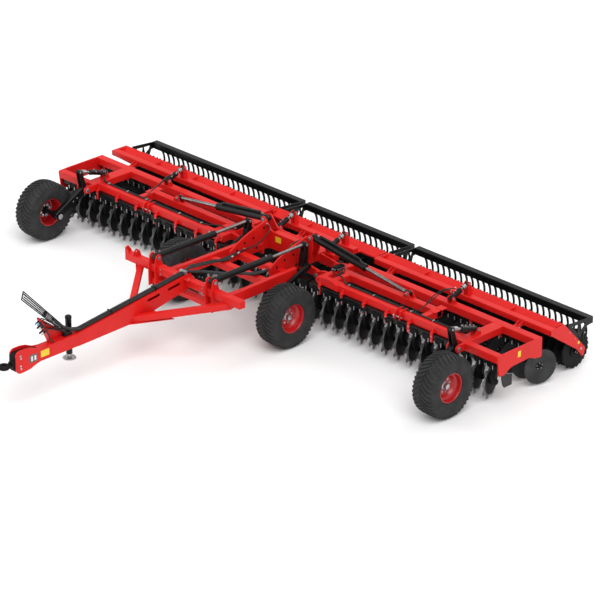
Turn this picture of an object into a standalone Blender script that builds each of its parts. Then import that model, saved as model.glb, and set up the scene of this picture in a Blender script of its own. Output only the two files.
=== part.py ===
"""Folding trailed compact disc harrow: a drawbar and centre frame on two lifting wheels, two folding
wings on gauge wheels, two rows of discs and three ring-roller sections behind.

Metres, +Z up. The drawbar points to -Y and the rollers trail at +Y. Places are worked out from the line
between the wheel hubs, and at the end everything hangs on one empty that puts the origin on the ground
under the middle of the machine.
"""

import math

import bmesh
import bpy
from mathutils import Matrix, Vector

# --- driving dimensions, in metres, from the wheel hubs' line (y = 0) and the ground (z = 0) ---------
HALF_WIDTH = 4.735  # outer face of a wing's end plate
REACH_FRONT = 4.46  # tow eye's tip, ahead of the hubs
REACH_BACK = 2.80  # scraper tines' back, behind the hubs
FRAME_TOP = 0.82
BEAM = 0.12  # side of a frame beam's square section

WHEEL_RADIUS = 0.47
TYRE_WIDTH = 0.39
RIM_RADIUS = 0.225
INNER_WHEEL_X = 1.148
OUTER_WHEEL_X = 4.313
HUB_Z = WHEEL_RADIUS

DISC_RADIUS = 0.27
DISC_PITCH = 0.25
DISC_THICK = 0.012
DISC_TURN = math.radians(16)  # a disc's cutting angle
DISC_BOTTOM = 0.03
DISC_Z = DISC_BOTTOM + DISC_RADIUS
FRONT_ROW_Y = 0.83
FRONT_ROW_END_X = 4.475
REAR_ROW_Y = 1.67
REAR_ROW_END_X = 4.64
DEFLECTOR_X = 4.68
ARM_OFFSET = 0.075  # a disc arm stands this far beside its disc
CARRIER = 0.096  # side of the tube that carries a row of disc arms
CARRIER_TOP = 0.699
FRONT_CARRIER_Y = 0.77
REAR_CARRIER_Y = 1.57

WING_HINGE_X, WING_HINGE_Z = 0.80, 0.70
WING_START_X = 1.02  # inner end of a wing's beams, clear of the lifting arm when the wing stands up
FRONT_EARS_Y, REAR_EARS_Y = 1.03, 1.42  # the centre frame's hinge ears

FRONT_BEAM_Y = 0.83
STUB_BEAM_Y = 0.72
MID_BEAM_Y = 1.21
REAR_BEAM_Y = 1.53
FORK_X = 4.0  # outer wheel arm's fork and the beam behind it
RIB_X = 3.05
INNER_RIB_X = 1.28

FOLD_BASE = (0.50, MID_BEAM_Y, 1.144)
FOLD_EYE = (2.48, MID_BEAM_Y, 0.877)
FOLD_BARREL = 1.11

LIFT_X = 0.61
LIFT_BASE = (LIFT_X, -0.97, 1.156)
LIFT_EYE = (LIFT_X, 0.92, 1.16)
LIFT_BARREL = 1.20
INNER_PIVOT = (0.88, 0.84)  # y, z of the lifting arms' shaft
INNER_ARM_X = 0.72

OUTER_PIVOT = (0.55, 0.76)
GAUGE_EYE = (FORK_X, 0.47, 1.07)
GAUGE_BASE = (FORK_X, 1.00, 0.90)
GAUGE_BARREL = 0.33

ROLLER_RADIUS = 0.30
ROLLER_Y = 2.44
ROLLER_SPLIT_X = 1.18
ROLLER_GAP = 0.03
ROLLER_HINGE = (1.70, 0.74)
ROLLER_RING_PITCH = 0.70
TOP_BAR_Y, TOP_BAR_Z = 2.69, 0.705
CENTRE_CARRIER_HALF = 0.76
DEPTH_BASE_YZ = (1.49, 0.90)
DEPTH_EYE_YZ = (1.83, 1.03)
DEPTH_BARREL = 0.21
WING_DEPTH_X, CENTRE_DEPTH_X = 3.06, 0.88

JACK_X, JACK_Y = -0.145, -3.06
JACK_FOOT_Z = 0.38  # the parking jack's foot is wound up clear of the ground

RED = (0.62, 0.012, 0.008)
BLACK = (0.012, 0.012, 0.013)
RUBBER = (0.022, 0.022, 0.023)
STEEL = (0.10, 0.10, 0.105)
ROD_STEEL = (0.55, 0.55, 0.56)

PARTS = "disc_harrow"


def clear_scene():
    """Remove what the scene starts with, and make the parts' collection."""
    for obj in list(bpy.data.objects):
        bpy.data.objects.remove(obj)
    parts = bpy.data.collections.new(PARTS)
    bpy.context.scene.collection.children.link(parts)
    return parts


def material(name, colour, roughness, metallic=0.0):
    """A Principled BSDF for one part."""
    made = bpy.data.materials.new(name)
    made.use_nodes = True
    shader = made.node_tree.nodes["Principled BSDF"]
    shader.inputs["Base Color"].default_value = (*colour, 1.0)
    shader.inputs["Roughness"].default_value = roughness
    shader.inputs["Metallic"].default_value = metallic
    return made


# --- shapes -------------------------------------------------------------------------------------------
def from_bmesh(bm):
    """A scene object that holds this bmesh."""
    mesh = bpy.data.meshes.new("shape")
    bm.to_mesh(mesh)
    bm.free()
    obj = bpy.data.objects.new("shape", mesh)
    bpy.context.scene.collection.objects.link(obj)
    return obj


def box(xs, ys, zs):
    """A box between two values on each axis."""
    bm = bmesh.new()
    bmesh.ops.create_cube(bm, size=1.0)
    size = Matrix.Diagonal((abs(xs[1] - xs[0]), abs(ys[1] - ys[0]), abs(zs[1] - zs[0]), 1.0))
    middle = Matrix.Translation(((xs[0] + xs[1]) / 2, (ys[0] + ys[1]) / 2, (zs[0] + zs[1]) / 2))
    bmesh.ops.transform(bm, matrix=middle @ size, verts=bm.verts)
    return from_bmesh(bm)


def along(start, end, side=(0.0, 0.0, 1.0)):
    """A matrix whose Z runs from start to end, with its X near side, at start; and the length."""
    start, end = Vector(start), Vector(end)
    z = (end - start).normalized()
    x = Vector(side) - Vector(side).dot(z) * z
    x = x.normalized() if x.length > 1e-6 else z.orthogonal().normalized()
    y = z.cross(x)
    turn = Matrix((x, y, z)).transposed().to_4x4()
    return Matrix.Translation(start) @ turn, (end - start).length


def bar(start, end, tall, wide):
    """A square-ended bar between two points: tall across its upright side, wide across the other."""
    place, length = along(start, end)
    bm = bmesh.new()
    bmesh.ops.create_cube(bm, size=1.0)
    size = Matrix.Translation((0, 0, length / 2)) @ Matrix.Diagonal((tall, wide, length, 1.0))
    bmesh.ops.transform(bm, matrix=place @ size, verts=bm.verts)
    return from_bmesh(bm)


def round_bar(start, end, radius, sides=12, end_radius=None):
    """A round bar between two points."""
    place, length = along(start, end)
    bm = bmesh.new()
    bmesh.ops.create_cone(
        bm,
        cap_ends=True,
        segments=sides,
        radius1=radius,
        radius2=radius if end_radius is None else end_radius,
        depth=length,
    )
    bmesh.ops.transform(bm, matrix=place @ Matrix.Translation((0, 0, length / 2)), verts=bm.verts)
    return from_bmesh(bm)


def to_mesh(obj):
    """The mesh object of a curve, with its caps welded. The curve is removed."""
    graph = bpy.context.evaluated_depsgraph_get()
    mesh = bpy.data.meshes.new_from_object(obj.evaluated_get(graph))
    bm = bmesh.new()
    bm.from_mesh(mesh)
    bmesh.ops.remove_doubles(bm, verts=bm.verts, dist=1e-5)
    bmesh.ops.recalc_face_normals(bm, faces=bm.faces)
    bmesh.ops.transform(bm, matrix=obj.matrix_world, verts=bm.verts)
    bpy.data.objects.remove(obj)
    return from_bmesh(bm)


PLANES = {
    "X": Matrix(((0, 0, 1, 0), (1, 0, 0, 0), (0, 1, 0, 0), (0, 0, 0, 1))),
    "Y": Matrix(((1, 0, 0, 0), (0, 0, -1, 0), (0, 1, 0, 0), (0, 0, 0, 1))),
    "Z": Matrix.Identity(4),
}


def plate(axis, at, thick, outline):
    """A flat plate square to an axis, at that place: outline holds (y, z), (x, z) or (x, y) points."""
    curve = bpy.data.curves.new("plate", "CURVE")
    curve.dimensions = "2D"
    curve.fill_mode = "BOTH"
    curve.extrude = thick / 2
    line = curve.splines.new("POLY")
    line.points.add(len(outline) - 1)
    for point, (a, b) in zip(line.points, outline):
        point.co = (a, b, 0.0, 1.0)
    line.use_cyclic_u = True
    obj = bpy.data.objects.new("plate", curve)
    bpy.context.scene.collection.objects.link(obj)
    shift = {"X": (at, 0, 0), "Y": (0, at, 0), "Z": (0, 0, at)}[axis]
    obj.matrix_world = Matrix.Translation(shift) @ PLANES[axis]
    bpy.context.view_layer.update()
    return to_mesh(obj)


def rounded(centre, radius, start, end, count=4):
    """Points on an arc, from the start angle to the end angle in degrees."""
    steps = [math.radians(start + (end - start) * i / count) for i in range(count + 1)]
    return [(centre[0] + radius * math.cos(a), centre[1] + radius * math.sin(a)) for a in steps]


def turned(profile, steps, place=Matrix.Identity(4)):
    """A solid turned about Z from (radius, z) points that run down its outer side, then placed."""
    mesh = bpy.data.meshes.new("profile")
    edges = [(i, i + 1) for i in range(len(profile) - 1)]
    mesh.from_pydata([(r, 0.0, z) for r, z in profile], edges, [])
    obj = bpy.data.objects.new("profile", mesh)
    bpy.context.scene.collection.objects.link(obj)
    screw = obj.modifiers.new("turn", "SCREW")
    screw.steps = screw.render_steps = steps
    screw.use_merge_vertices = True
    screw.merge_threshold = 0.0001
    obj.matrix_world = place
    bpy.context.view_layer.update()
    return to_mesh(obj)


def joined(pieces):
    """One mesh object: the Boolean union of the pieces."""
    base, others = pieces[0], pieces[1:]
    if not others:
        return base
    group = bpy.data.collections.new("union")
    bpy.context.scene.collection.children.link(group)
    for obj in others:
        bpy.context.scene.collection.objects.unlink(obj)
        group.objects.link(obj)
    union = base.modifiers.new("union", "BOOLEAN")
    union.operation = "UNION"
    union.operand_type = "COLLECTION"
    union.collection = group
    union.solver = "EXACT"
    bpy.context.view_layer.update()
    graph = bpy.context.evaluated_depsgraph_get()
    mesh = bpy.data.meshes.new_from_object(base.evaluated_get(graph))
    base.modifiers.clear()
    base.data = mesh
    for obj in others:
        bpy.data.objects.remove(obj)
    bpy.data.collections.remove(group)
    return base


def cut(base, cutters):
    """The base with the cutters taken out of it."""
    tool = joined(cutters)
    less = base.modifiers.new("cut", "BOOLEAN")
    less.operation = "DIFFERENCE"
    less.object = tool
    less.solver = "EXACT"
    bpy.context.view_layer.update()
    graph = bpy.context.evaluated_depsgraph_get()
    mesh = bpy.data.meshes.new_from_object(base.evaluated_get(graph))
    base.modifiers.clear()
    base.data = mesh
    bpy.data.objects.remove(tool)
    return base


class Harrow:
    """Names, colours and files away each finished part, and hangs it on its pivot's empty."""

    def __init__(self, parts):
        self.parts = parts
        self.ground = self.empty("ground_centre", (0, (REACH_FRONT - REACH_BACK) / 2, 0))

    def empty(self, name, place, parent=None):
        """An empty on a joint's axis."""
        obj = bpy.data.objects.new(name, None)
        self.parts.objects.link(obj)
        obj.matrix_world = Matrix.Translation(place)
        if parent is not None:
            obj.parent = parent
            obj.matrix_parent_inverse = parent.matrix_world.inverted()
        bpy.context.view_layer.update()
        return obj

    def add(self, name, pieces, finish, pivot=(0.0, 0.0, 0.0), smooth=False):
        """Join the pieces into one part with its origin at the pivot, given from the hubs' line."""
        obj = joined(pieces)
        obj.name = obj.data.name = name
        for holder in list(obj.users_collection):
            holder.objects.unlink(obj)
        self.parts.objects.link(obj)
        colour, roughness, metallic = finish
        obj.data.materials.clear()
        obj.data.materials.append(material(name, colour, roughness, metallic))
        obj.data.transform(Matrix.Translation(Vector(pivot) * -1))
        obj.location = Vector(pivot) + self.ground.location
        obj.parent = self.ground
        obj.matrix_parent_inverse = self.ground.matrix_world.inverted()
        if smooth:
            obj.data.shade_smooth()
            obj.data.set_sharp_from_angle(angle=math.radians(35))
        return obj


RED_PAINT = (RED, 0.35, 0.0)
BLACK_PAINT = (BLACK, 0.42, 0.0)
TYRE_RUBBER = (RUBBER, 0.85, 0.0)
HOSE_RUBBER = (RUBBER, 0.55, 0.0)
DISC_STEEL = (STEEL, 0.45, 0.6)
BRIGHT_ROD = (ROD_STEEL, 0.22, 1.0)


# --- drawbar ------------------------------------------------------------------------------------------
CROSS_BEAM_Y, CROSS_BEAM_TOP, CROSS_BEAM_HALF = -0.95, 1.04, 1.236
TONGUE_WIDE, TONGUE_TALL = 0.15, 0.20
TONGUE_Z = 0.74
TONGUE_TOP = TONGUE_Z + TONGUE_TALL / 2
TONGUE_FRONT_Y, TONGUE_BEND_Y = -3.78, -3.07
TONGUE_REAR_Y, TONGUE_REAR_TOP = -0.88, 1.09
DIAGONAL_FOOT_Y, DIAGONAL_END_X = -2.02, 0.98
CHEEK_X, CHEEK_THICK = TONGUE_WIDE / 2 - 0.0095, 0.02
HITCH_FRONT_Y = -4.24
HOSE_BUNDLE_RADIUS = 0.032
EYE_Z, EYE_RADIUS = 0.735, 0.085


def lift_plates(side):
    """The upright pair of plates on the cross beam that holds one lift cylinder's base."""
    outline = [(-1.05, 0.70), (-0.855, 0.70), (-0.855, 0.94), (-0.91, 1.10)]
    outline += rounded((LIFT_BASE[1], LIFT_BASE[2]), 0.055, 20, 180)
    outline += [(-1.05, 1.02)]
    return [plate("X", side * (LIFT_X + gap), 0.02, outline) for gap in (-0.067, 0.067)]


def tongue_top(y):
    """Height of the climbing tongue's top at y."""
    climb = (TONGUE_REAR_TOP - TONGUE_TOP) / (TONGUE_REAR_Y - TONGUE_BEND_Y)
    return TONGUE_TOP + max(0.0, y - TONGUE_BEND_Y) * climb


def drawbar():
    """The tongue with its hitch cheeks, its two diagonals and webs, and the cross beam that they carry."""
    cheek = [(-3.70, TONGUE_TOP - 0.002), (-3.80, 0.85), (-4.02, 0.925)]
    cheek += rounded((-4.14, 0.85), 0.08, 90, 180) + rounded((-4.13, 0.665), 0.09, 180, 270)
    cheek += [(-3.95, 0.575), (-3.76, 0.645), (-3.70, 0.642)]
    climbing = [(TONGUE_BEND_Y - 0.04, 0.643), (-1.95, 0.66), (TONGUE_REAR_Y, 0.87),
                (TONGUE_REAR_Y, TONGUE_REAR_TOP), (TONGUE_BEND_Y, TONGUE_TOP - 0.001),
                (TONGUE_BEND_Y - 0.04, TONGUE_TOP - 0.001)]
    pieces = [
        bar((0, TONGUE_FRONT_Y, TONGUE_Z), (0, TONGUE_BEND_Y, TONGUE_Z), TONGUE_TALL, TONGUE_WIDE),
        plate("X", 0.0, TONGUE_WIDE - 0.004, climbing),
        box((-CROSS_BEAM_HALF, CROSS_BEAM_HALF), (CROSS_BEAM_Y - BEAM / 2, CROSS_BEAM_Y + BEAM / 2),
            (CROSS_BEAM_TOP - BEAM, CROSS_BEAM_TOP)),
        box((-0.668, 0.668), (-1.0, -0.86), (0.72, 0.80)),
    ]
    for side in (-1, 1):
        foot = (side * 0.03, DIAGONAL_FOOT_Y, 0.71)
        tip = (side * DIAGONAL_END_X, CROSS_BEAM_Y + 0.02, 0.885)
        pieces.append(bar(foot, tip, 0.10, 0.09))
        pieces.append(plate("X", side * CHEEK_X, CHEEK_THICK, cheek))
        pieces += lift_plates(side)
    return pieces


def tow_hitch():
    """The bolted hitch block with its forged tow eye."""
    half = CHEEK_X - CHEEK_THICK / 2 - 0.0003
    eye_y = -REACH_FRONT + EYE_RADIUS
    block = [
        box((-half, half), (HITCH_FRONT_Y, TONGUE_FRONT_Y - 0.0003), (0.60, 0.90)),
        round_bar((0, HITCH_FRONT_Y + 0.01, EYE_Z), (0, HITCH_FRONT_Y - 0.06, EYE_Z), 0.034, 10),
    ]
    ring = [(0.0, 0.028), (EYE_RADIUS, 0.028), (EYE_RADIUS, -0.028), (0.0, -0.028)]
    eye = turned(ring, 16, Matrix.Translation((0, eye_y, EYE_Z)))
    hole = round_bar((0, eye_y, EYE_Z - 0.05), (0, eye_y, EYE_Z + 0.05), 0.036, 12)
    return [cut(joined(block + [eye]), [hole])]


def hose_rack():
    """The sloping rod frame that holds the tractor hoses up, standing on the tongue."""
    foot = (0, -3.17, TONGUE_TOP + 0.03)
    top, bottom = (0, -3.975, 1.775), (0, -4.015, 1.655)
    back, front = (0, -3.16, 0.885), (0, -3.25, 0.885)
    middle = [tuple((a + b) / 2 for a, b in zip(*ends)) for ends in ((top, back), (bottom, front))]
    pieces = [
        round_bar(back, top, 0.010, 6),
        round_bar(front, bottom, 0.010, 6),
        round_bar(bottom, top, 0.012, 6),
        bar(middle[1], middle[0], 0.05, 0.05),
        box((-0.03, 0.03), (-3.28, foot[1] + 0.04), (TONGUE_TOP + 0.0003, 0.90)),
    ]
    return pieces


def coupler_bracket():
    """The triangular plate under the rack whose bent front edge holds the hose couplers."""
    foot_z = TONGUE_TOP + 0.0003
    outline = [(-3.54, foot_z), (-3.20, foot_z), (-3.22, 0.885), (-3.70, 1.27), (-3.72, 1.25)]
    return [
        plate("X", -0.052, 0.012, outline),
        bar((-0.005, -3.545, TONGUE_TOP + 0.03), (-0.005, -3.705, 1.245), 0.012, 0.11),
    ]


def tube_along(points, radius):
    """A round hose through the points."""
    curve = bpy.data.curves.new("hose", "CURVE")
    curve.dimensions = "3D"
    curve.bevel_depth = radius
    curve.bevel_resolution = 2
    curve.use_fill_caps = True
    line = curve.splines.new("POLY")
    line.points.add(len(points) - 1)
    for point, place in zip(line.points, points):
        point.co = (*place, 1.0)
    obj = bpy.data.objects.new("hose", curve)
    bpy.context.scene.collection.objects.link(obj)
    bpy.context.view_layer.update()
    return to_mesh(obj)


def hose_bundle():
    """The bundle of hoses clipped along the tongue's top, from the rack's foot to the cross beam."""
    places = (-3.085, -2.98, -2.85, -2.4, -1.9, -1.4, -0.92)
    lift = HOSE_BUNDLE_RADIUS + 0.0015
    return [tube_along([(0.0, y, tongue_top(y + 0.05) + lift) for y in places], HOSE_BUNDLE_RADIUS)]


def hollow_tube(place, inner, outer, low, high, roof, steps):
    """A tube about Z, open at its low end and closed by a roof."""
    profile = [(0.0, high), (outer, high), (outer, low), (inner, low), (inner, high - roof),
               (0.0, high - roof)]
    return turned(profile, steps, place)


def jack_parts():
    """The sleeve's pieces and the leg's pieces."""
    place = Matrix.Translation((JACK_X, JACK_Y, 0))
    sleeve = [
        hollow_tube(place, 0.036, 0.048, 0.45, 1.06, 0.05, 12),
        box((-TONGUE_WIDE / 2 - 0.0003, JACK_X + 0.042), (JACK_Y - 0.05, JACK_Y + 0.05), (0.66, 0.82)),
    ]
    leg = [
        round_bar((JACK_X, JACK_Y, JACK_FOOT_Z + 0.01), (JACK_X, JACK_Y, JACK_FOOT_Z + 0.60), 0.032, 12),
        round_bar((JACK_X, JACK_Y, JACK_FOOT_Z), (JACK_X, JACK_Y, JACK_FOOT_Z + 0.02), 0.10, 14),
    ]
    return sleeve, leg


# --- centre frame -------------------------------------------------------------------------------------
SPINE_X = 0.64  # middle of a centre longitudinal
SPINE_WIDE = 0.08
GUSSET_X = 0.43
TOWER_FRONT_Y, TOWER_BACK_Y = 1.14, 1.28


def hinge_ear(side, y, thick, reach_x, hole):
    """A round-ended plate that reaches from reach_x to the wing's hinge axis, with a bore if hole."""
    tip = rounded((WING_HINGE_X, WING_HINGE_Z), 0.055, -90, 90)
    outline = [(reach_x, 0.645)] + tip + [(reach_x, 0.815)]
    if reach_x > WING_HINGE_X:
        tip = rounded((WING_HINGE_X, WING_HINGE_Z), 0.055, 270, 90)
        outline = [(reach_x, 0.705)] + [(reach_x, 0.815)] + tip[::-1]
    ear = plate("Y", y, thick, [(side * x, z) for x, z in outline])
    if hole:
        pin = (side * WING_HINGE_X, WING_HINGE_Z)
        ear = cut(ear, [round_bar((pin[0], y - 0.05, pin[1]), (pin[0], y + 0.05, pin[1]), 0.030, 8)])
    return ear


def centre_frame():
    """Longitudinals, cross tubes, the tower with the fold cylinders' ears, and the hinge ears."""
    pieces = []
    for side in (-1, 1):
        pieces.append(bar((side * SPINE_X, -0.8545, 0.765), (side * (SPINE_X - 0.03), 0.72, 0.765), 0.17,
                          SPINE_WIDE))
        gusset = [(0.36, 0.70), (0.36, 0.88), (0.58, 1.00), (0.82, 1.09), (1.145, 1.17), (1.145, 0.70)]
        pieces.append(plate("X", side * GUSSET_X, 0.03, gusset))
        pieces.append(box((side * 0.38, side * 0.46), (1.13, 1.50), (0.70, 0.82)))
        pieces.append(hinge_ear(side, FRONT_EARS_Y, 0.04, 0.40, True))
        pieces.append(hinge_ear(side, REAR_EARS_Y, 0.04, 0.40, True))
    for y in (0.16, 0.58):
        pieces.append(box((-0.60, 0.60), (y - 0.06, y + 0.06), (0.70, 0.81)))
    tower = [(-0.47, 0.72), (0.47, 0.72), (0.56, 0.98)]
    tower += rounded((FOLD_BASE[0], FOLD_BASE[2]), 0.055, 0, 120)
    tower += [(0.30, 1.01), (-0.30, 1.01)]
    tower += [(-x, z) for x, z in rounded((FOLD_BASE[0], FOLD_BASE[2]), 0.055, 120, 0)]
    tower += [(-0.56, 0.98)]
    for y in (TOWER_FRONT_Y, TOWER_BACK_Y):
        pieces.append(plate("Y", y, 0.025, tower))
    pieces.append(box((-0.66, 0.66), (REAR_BEAM_Y - 0.065, REAR_BEAM_Y + 0.065), (0.7005, 0.8205)))
    for side in (-1, 1):
        pieces += depth_ears(side * CENTRE_DEPTH_X * 0.62)
        pieces += roller_brackets(side * 0.30)
    return pieces


def depth_ears(x):
    """A pair of plates on a rear beam that holds one depth cylinder's base."""
    outline = [(1.47, 0.80), (1.58, 0.80)] + rounded(DEPTH_BASE_YZ, 0.035, 0, 180)
    return [plate("X", x + gap, 0.012, outline) for gap in (-0.046, 0.046)]


def roller_brackets(x):
    """A plate behind a rear beam that reaches to the roller carrier's hinge."""
    outline = [(1.50, 0.705), (1.50, 0.815)] + rounded(ROLLER_HINGE, 0.04, 90, -90)
    return [plate("X", x, 0.03, outline)]


# --- cylinders ----------------------------------------------------------------------------------------
def cylinder(base, eye, barrel_length, radius, rod_radius, bore_depth, pin, eye_wide):
    """(barrel pieces, rod pieces) of a hydraulic cylinder from its base pin to its rod's eye."""
    place, length = along(base, eye)
    side = Vector(pin)
    bore = rod_radius + 0.002
    profile = [(0.0, barrel_length - bore_depth), (bore, barrel_length - bore_depth),
               (bore, barrel_length), (radius, barrel_length), (radius, 0.0), (0.0, 0.0)]
    reach = side * eye_wide / 2
    base, eye = Vector(base), Vector(eye)
    axis = (eye - base).normalized()
    barrel = [
        turned([(r, z + radius * 0.6 if z == 0.0 else z) for r, z in profile], 12, place),
        round_bar(base - reach, base + reach, radius * 0.85, 12),
    ]
    inside = min(0.16, bore_depth * 0.4)
    rod = [
        round_bar(base + axis * (barrel_length - inside), eye, rod_radius, 10),
        round_bar(eye - reach, eye + reach, rod_radius * 1.5, 12),
    ]
    return barrel, rod


# --- wheels -------------------------------------------------------------------------------------------
def wheel_place(x):
    """Turns Z to X, at a wheel's hub."""
    return Matrix.Translation((x, 0, HUB_Z)) @ Matrix.Rotation(math.pi / 2, 4, "Y")


def tyre(x):
    """A wide flotation tyre."""
    half, outer, inner = TYRE_WIDTH / 2, WHEEL_RADIUS, RIM_RADIUS
    profile = [
        (inner, half * 0.80),
        (inner + 0.05, half * 0.93),
        (outer - 0.11, half),
        (outer - 0.035, half * 0.92),
        (outer, half * 0.62),
    ]
    profile += [(r, -z) for r, z in reversed(profile)]
    profile.append(profile[0])
    return [turned(profile, 16, wheel_place(x))]


def rim(x, outward):
    """A dished steel rim with its hub; outward is the side that its dish faces."""
    half, outer = TYRE_WIDTH / 2 * 0.78, RIM_RADIUS - 0.0006
    profile = [(0.0, 0.10), (0.055, 0.10), (0.06, 0.03), (0.14, 0.02), (outer - 0.02, half * 0.55),
               (outer, half), (outer, -half), (outer - 0.02, -half), (0.14, -0.03), (0.0, -0.03)]
    place = wheel_place(x)
    if outward < 0:
        place = place @ Matrix.Rotation(math.pi, 4, "X")
    return [turned(profile, 16, place)]


def inner_arm(side):
    """A lifting arm: crank, shaft, arm and stub axle."""
    y, z = INNER_PIVOT
    arm = [(y + 0.05, z), (y, z + 0.05), (-0.02, HUB_Z + 0.065), (-0.07, HUB_Z),
           (-0.02, HUB_Z - 0.065), (0.66, 0.735), (y, z - 0.03)]
    crank = [(y - 0.055, z), (y, z - 0.055), (y + 0.05, z)] + rounded(LIFT_EYE[1:], 0.04, 0, 180)
    pieces = [
        plate("X", side * INNER_ARM_X, 0.05, arm),
        round_bar((side * 0.555, y, z), (side * 0.735, y, z), 0.042, 12),
        round_bar((side * 0.73, 0, HUB_Z), (side * (INNER_WHEEL_X - 0.031), 0, HUB_Z), 0.045, 12),
    ]
    pieces += [plate("X", side * (LIFT_X + gap), 0.018, crank) for gap in (-0.040, 0.040)]
    return pieces


def outer_arm(side):
    """A gauge wheel's arm with its crank, pin and stub axle."""
    y, z = OUTER_PIVOT
    arm = [(y + 0.055, z), (y, z + 0.055), (-0.02, HUB_Z + 0.06), (-0.065, HUB_Z), (-0.02, HUB_Z - 0.06),
           (y, z - 0.055)]
    crank = [(y - 0.055, z), (y, z - 0.05), (y + 0.055, z)] + rounded(GAUGE_EYE[1:], 0.032, 0, 180)
    pieces = [
        plate("X", side * FORK_X, 0.09, arm),
        round_bar((side * (FORK_X - 0.064), y, z), (side * (FORK_X + 0.064), y, z), 0.028, 8),
        round_bar((side * (FORK_X - 0.08), 0, HUB_Z), (side * (OUTER_WHEEL_X - 0.031), 0, HUB_Z), 0.045, 12),
    ]
    pieces += [plate("X", side * (FORK_X + gap), 0.014, crank) for gap in (-0.036, 0.036)]
    return pieces


# --- wings --------------------------------------------------------------------------------------------
def end_plate(side):
    """The outer side plate of a wing, with its two hanging tabs."""
    outline = [(0.66, FRAME_TOP), (0.70, 0.49), (0.83, 0.49), (0.97, 0.57), (1.35, 0.58), (1.44, 0.53),
               (1.60, 0.51), (1.60, FRAME_TOP + 0.003), (0.86, FRAME_TOP + 0.003)]
    return plate("X", side * (HALF_WIDTH - 0.0125), 0.025, outline)


def wing_frame(side):
    """Front, middle and rear beams, the ribs between them, the end plate, lugs and hinge ears."""
    low = FRAME_TOP - BEAM
    half = BEAM / 2
    inner, outer = side * WING_START_X, side * (HALF_WIDTH - 0.012)

    def beam_x(x0, x1, y, top=FRAME_TOP, bottom=low, wide=half):
        return box((x0, x1), (y - wide, y + wide), (bottom, top))

    pieces = [
        beam_x(inner, side * (FORK_X - 0.05), FRONT_BEAM_Y),
        beam_x(side * (FORK_X + 0.05), outer, STUB_BEAM_Y, FRAME_TOP - 0.001, low + 0.001),
        beam_x(inner, side * (RIB_X + 0.05), MID_BEAM_Y, FRAME_TOP + 0.001, low - 0.001),
        beam_x(inner, outer, REAR_BEAM_Y, FRAME_TOP + 0.002, low, 0.068),
        box((side * (FORK_X - 0.10), side * (FORK_X + 0.10)), (0.69, 1.52), (low + 0.003, FRAME_TOP - 0.002)),
        box((side * (RIB_X - 0.05), side * (RIB_X + 0.05)), (0.80, 1.26), (low + 0.003, FRAME_TOP - 0.002)),
        box((side * (INNER_RIB_X - 0.05), side * (INNER_RIB_X + 0.05)), (0.80, 1.26),
            (low + 0.003, FRAME_TOP - 0.002)),
        box((side * (WING_START_X + 0.002), side * (WING_START_X + 0.10)), (0.80, 1.52),
            (low + 0.004, FRAME_TOP - 0.003)),
        end_plate(side),
    ]
    fork_plate = [(0.72, 0.705), (0.72, 0.815)] + rounded(OUTER_PIVOT, 0.06, 90, 270)
    for gap in (-1, 1):
        cheek = plate("X", side * (FORK_X + gap * 0.085), 0.028, fork_plate)
        x = side * (FORK_X + gap * 0.085)
        bore = round_bar((x - 0.03, *OUTER_PIVOT), (x + 0.03, *OUTER_PIVOT), 0.033, 8)
        pieces.append(cut(cheek, [bore]))
    lug = [(FOLD_EYE[0] - 0.09, 0.80), (FOLD_EYE[0] + 0.09, 0.80)]
    lug += rounded((FOLD_EYE[0], FOLD_EYE[2]), 0.045, 0, 180)
    for gap in (-0.046, 0.046):
        pieces.append(plate("Y", MID_BEAM_Y + gap, 0.018, [(side * x, z) for x, z in lug]))
    for y in (FRONT_EARS_Y - 0.045, REAR_EARS_Y - 0.045):
        pieces.append(hinge_ear(side, y, 0.04, WING_START_X + 0.04, False))
        pieces.append(round_bar((side * WING_HINGE_X, y, WING_HINGE_Z),
                                (side * WING_HINGE_X, y + 0.075, WING_HINGE_Z), 0.0255, 8))
    base = [(0.93, 0.80), (1.07, 0.80)] + rounded((GAUGE_BASE[1], GAUGE_BASE[2]), 0.032, 0, 180)
    pieces += [plate("X", side * (FORK_X + gap), 0.012, base) for gap in (-0.046, 0.046)]
    pieces += depth_ears(side * WING_DEPTH_X)
    for x in (1.6, 4.15):
        pieces += roller_brackets(side * x)
    return pieces


# --- disc rows ----------------------------------------------------------------------------------------
def disc_row(ends, xs, carrier_y, hub_y, turn):
    """A carrier tube with an arm and a disc at each x. turn is the side of the discs that their arms are on."""
    pieces = [box(ends, (carrier_y - CARRIER / 2, carrier_y + CARRIER / 2),
                  (CARRIER_TOP - CARRIER, CARRIER_TOP))]
    for x in xs:
        facing = Vector((math.cos(DISC_TURN), turn * math.sin(DISC_TURN), 0.0)) * turn
        middle = Vector((x, hub_y, DISC_Z))
        pieces.append(round_bar(middle - facing * DISC_THICK / 2, middle + facing * DISC_THICK / 2,
                                DISC_RADIUS, 10))
        top = (x + turn * ARM_OFFSET, carrier_y, CARRIER_TOP - CARRIER * 0.5)
        foot = middle + facing * 0.02
        pieces.append(bar(top, foot + (foot - Vector(top)).normalized() * 0.05, 0.05, 0.06))
    return pieces


def deflector(side):
    """The soil guard beside the end disc of a wing's front row, on its own hanger."""
    outline = [(0.78, 0.65), (0.80, 0.45), (0.84, 0.22), (1.03, 0.22), (1.03, 0.41), (0.90, 0.47), (0.85, 0.65)]
    return [plate("X", side * DEFLECTOR_X, 0.01, outline)]


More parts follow.
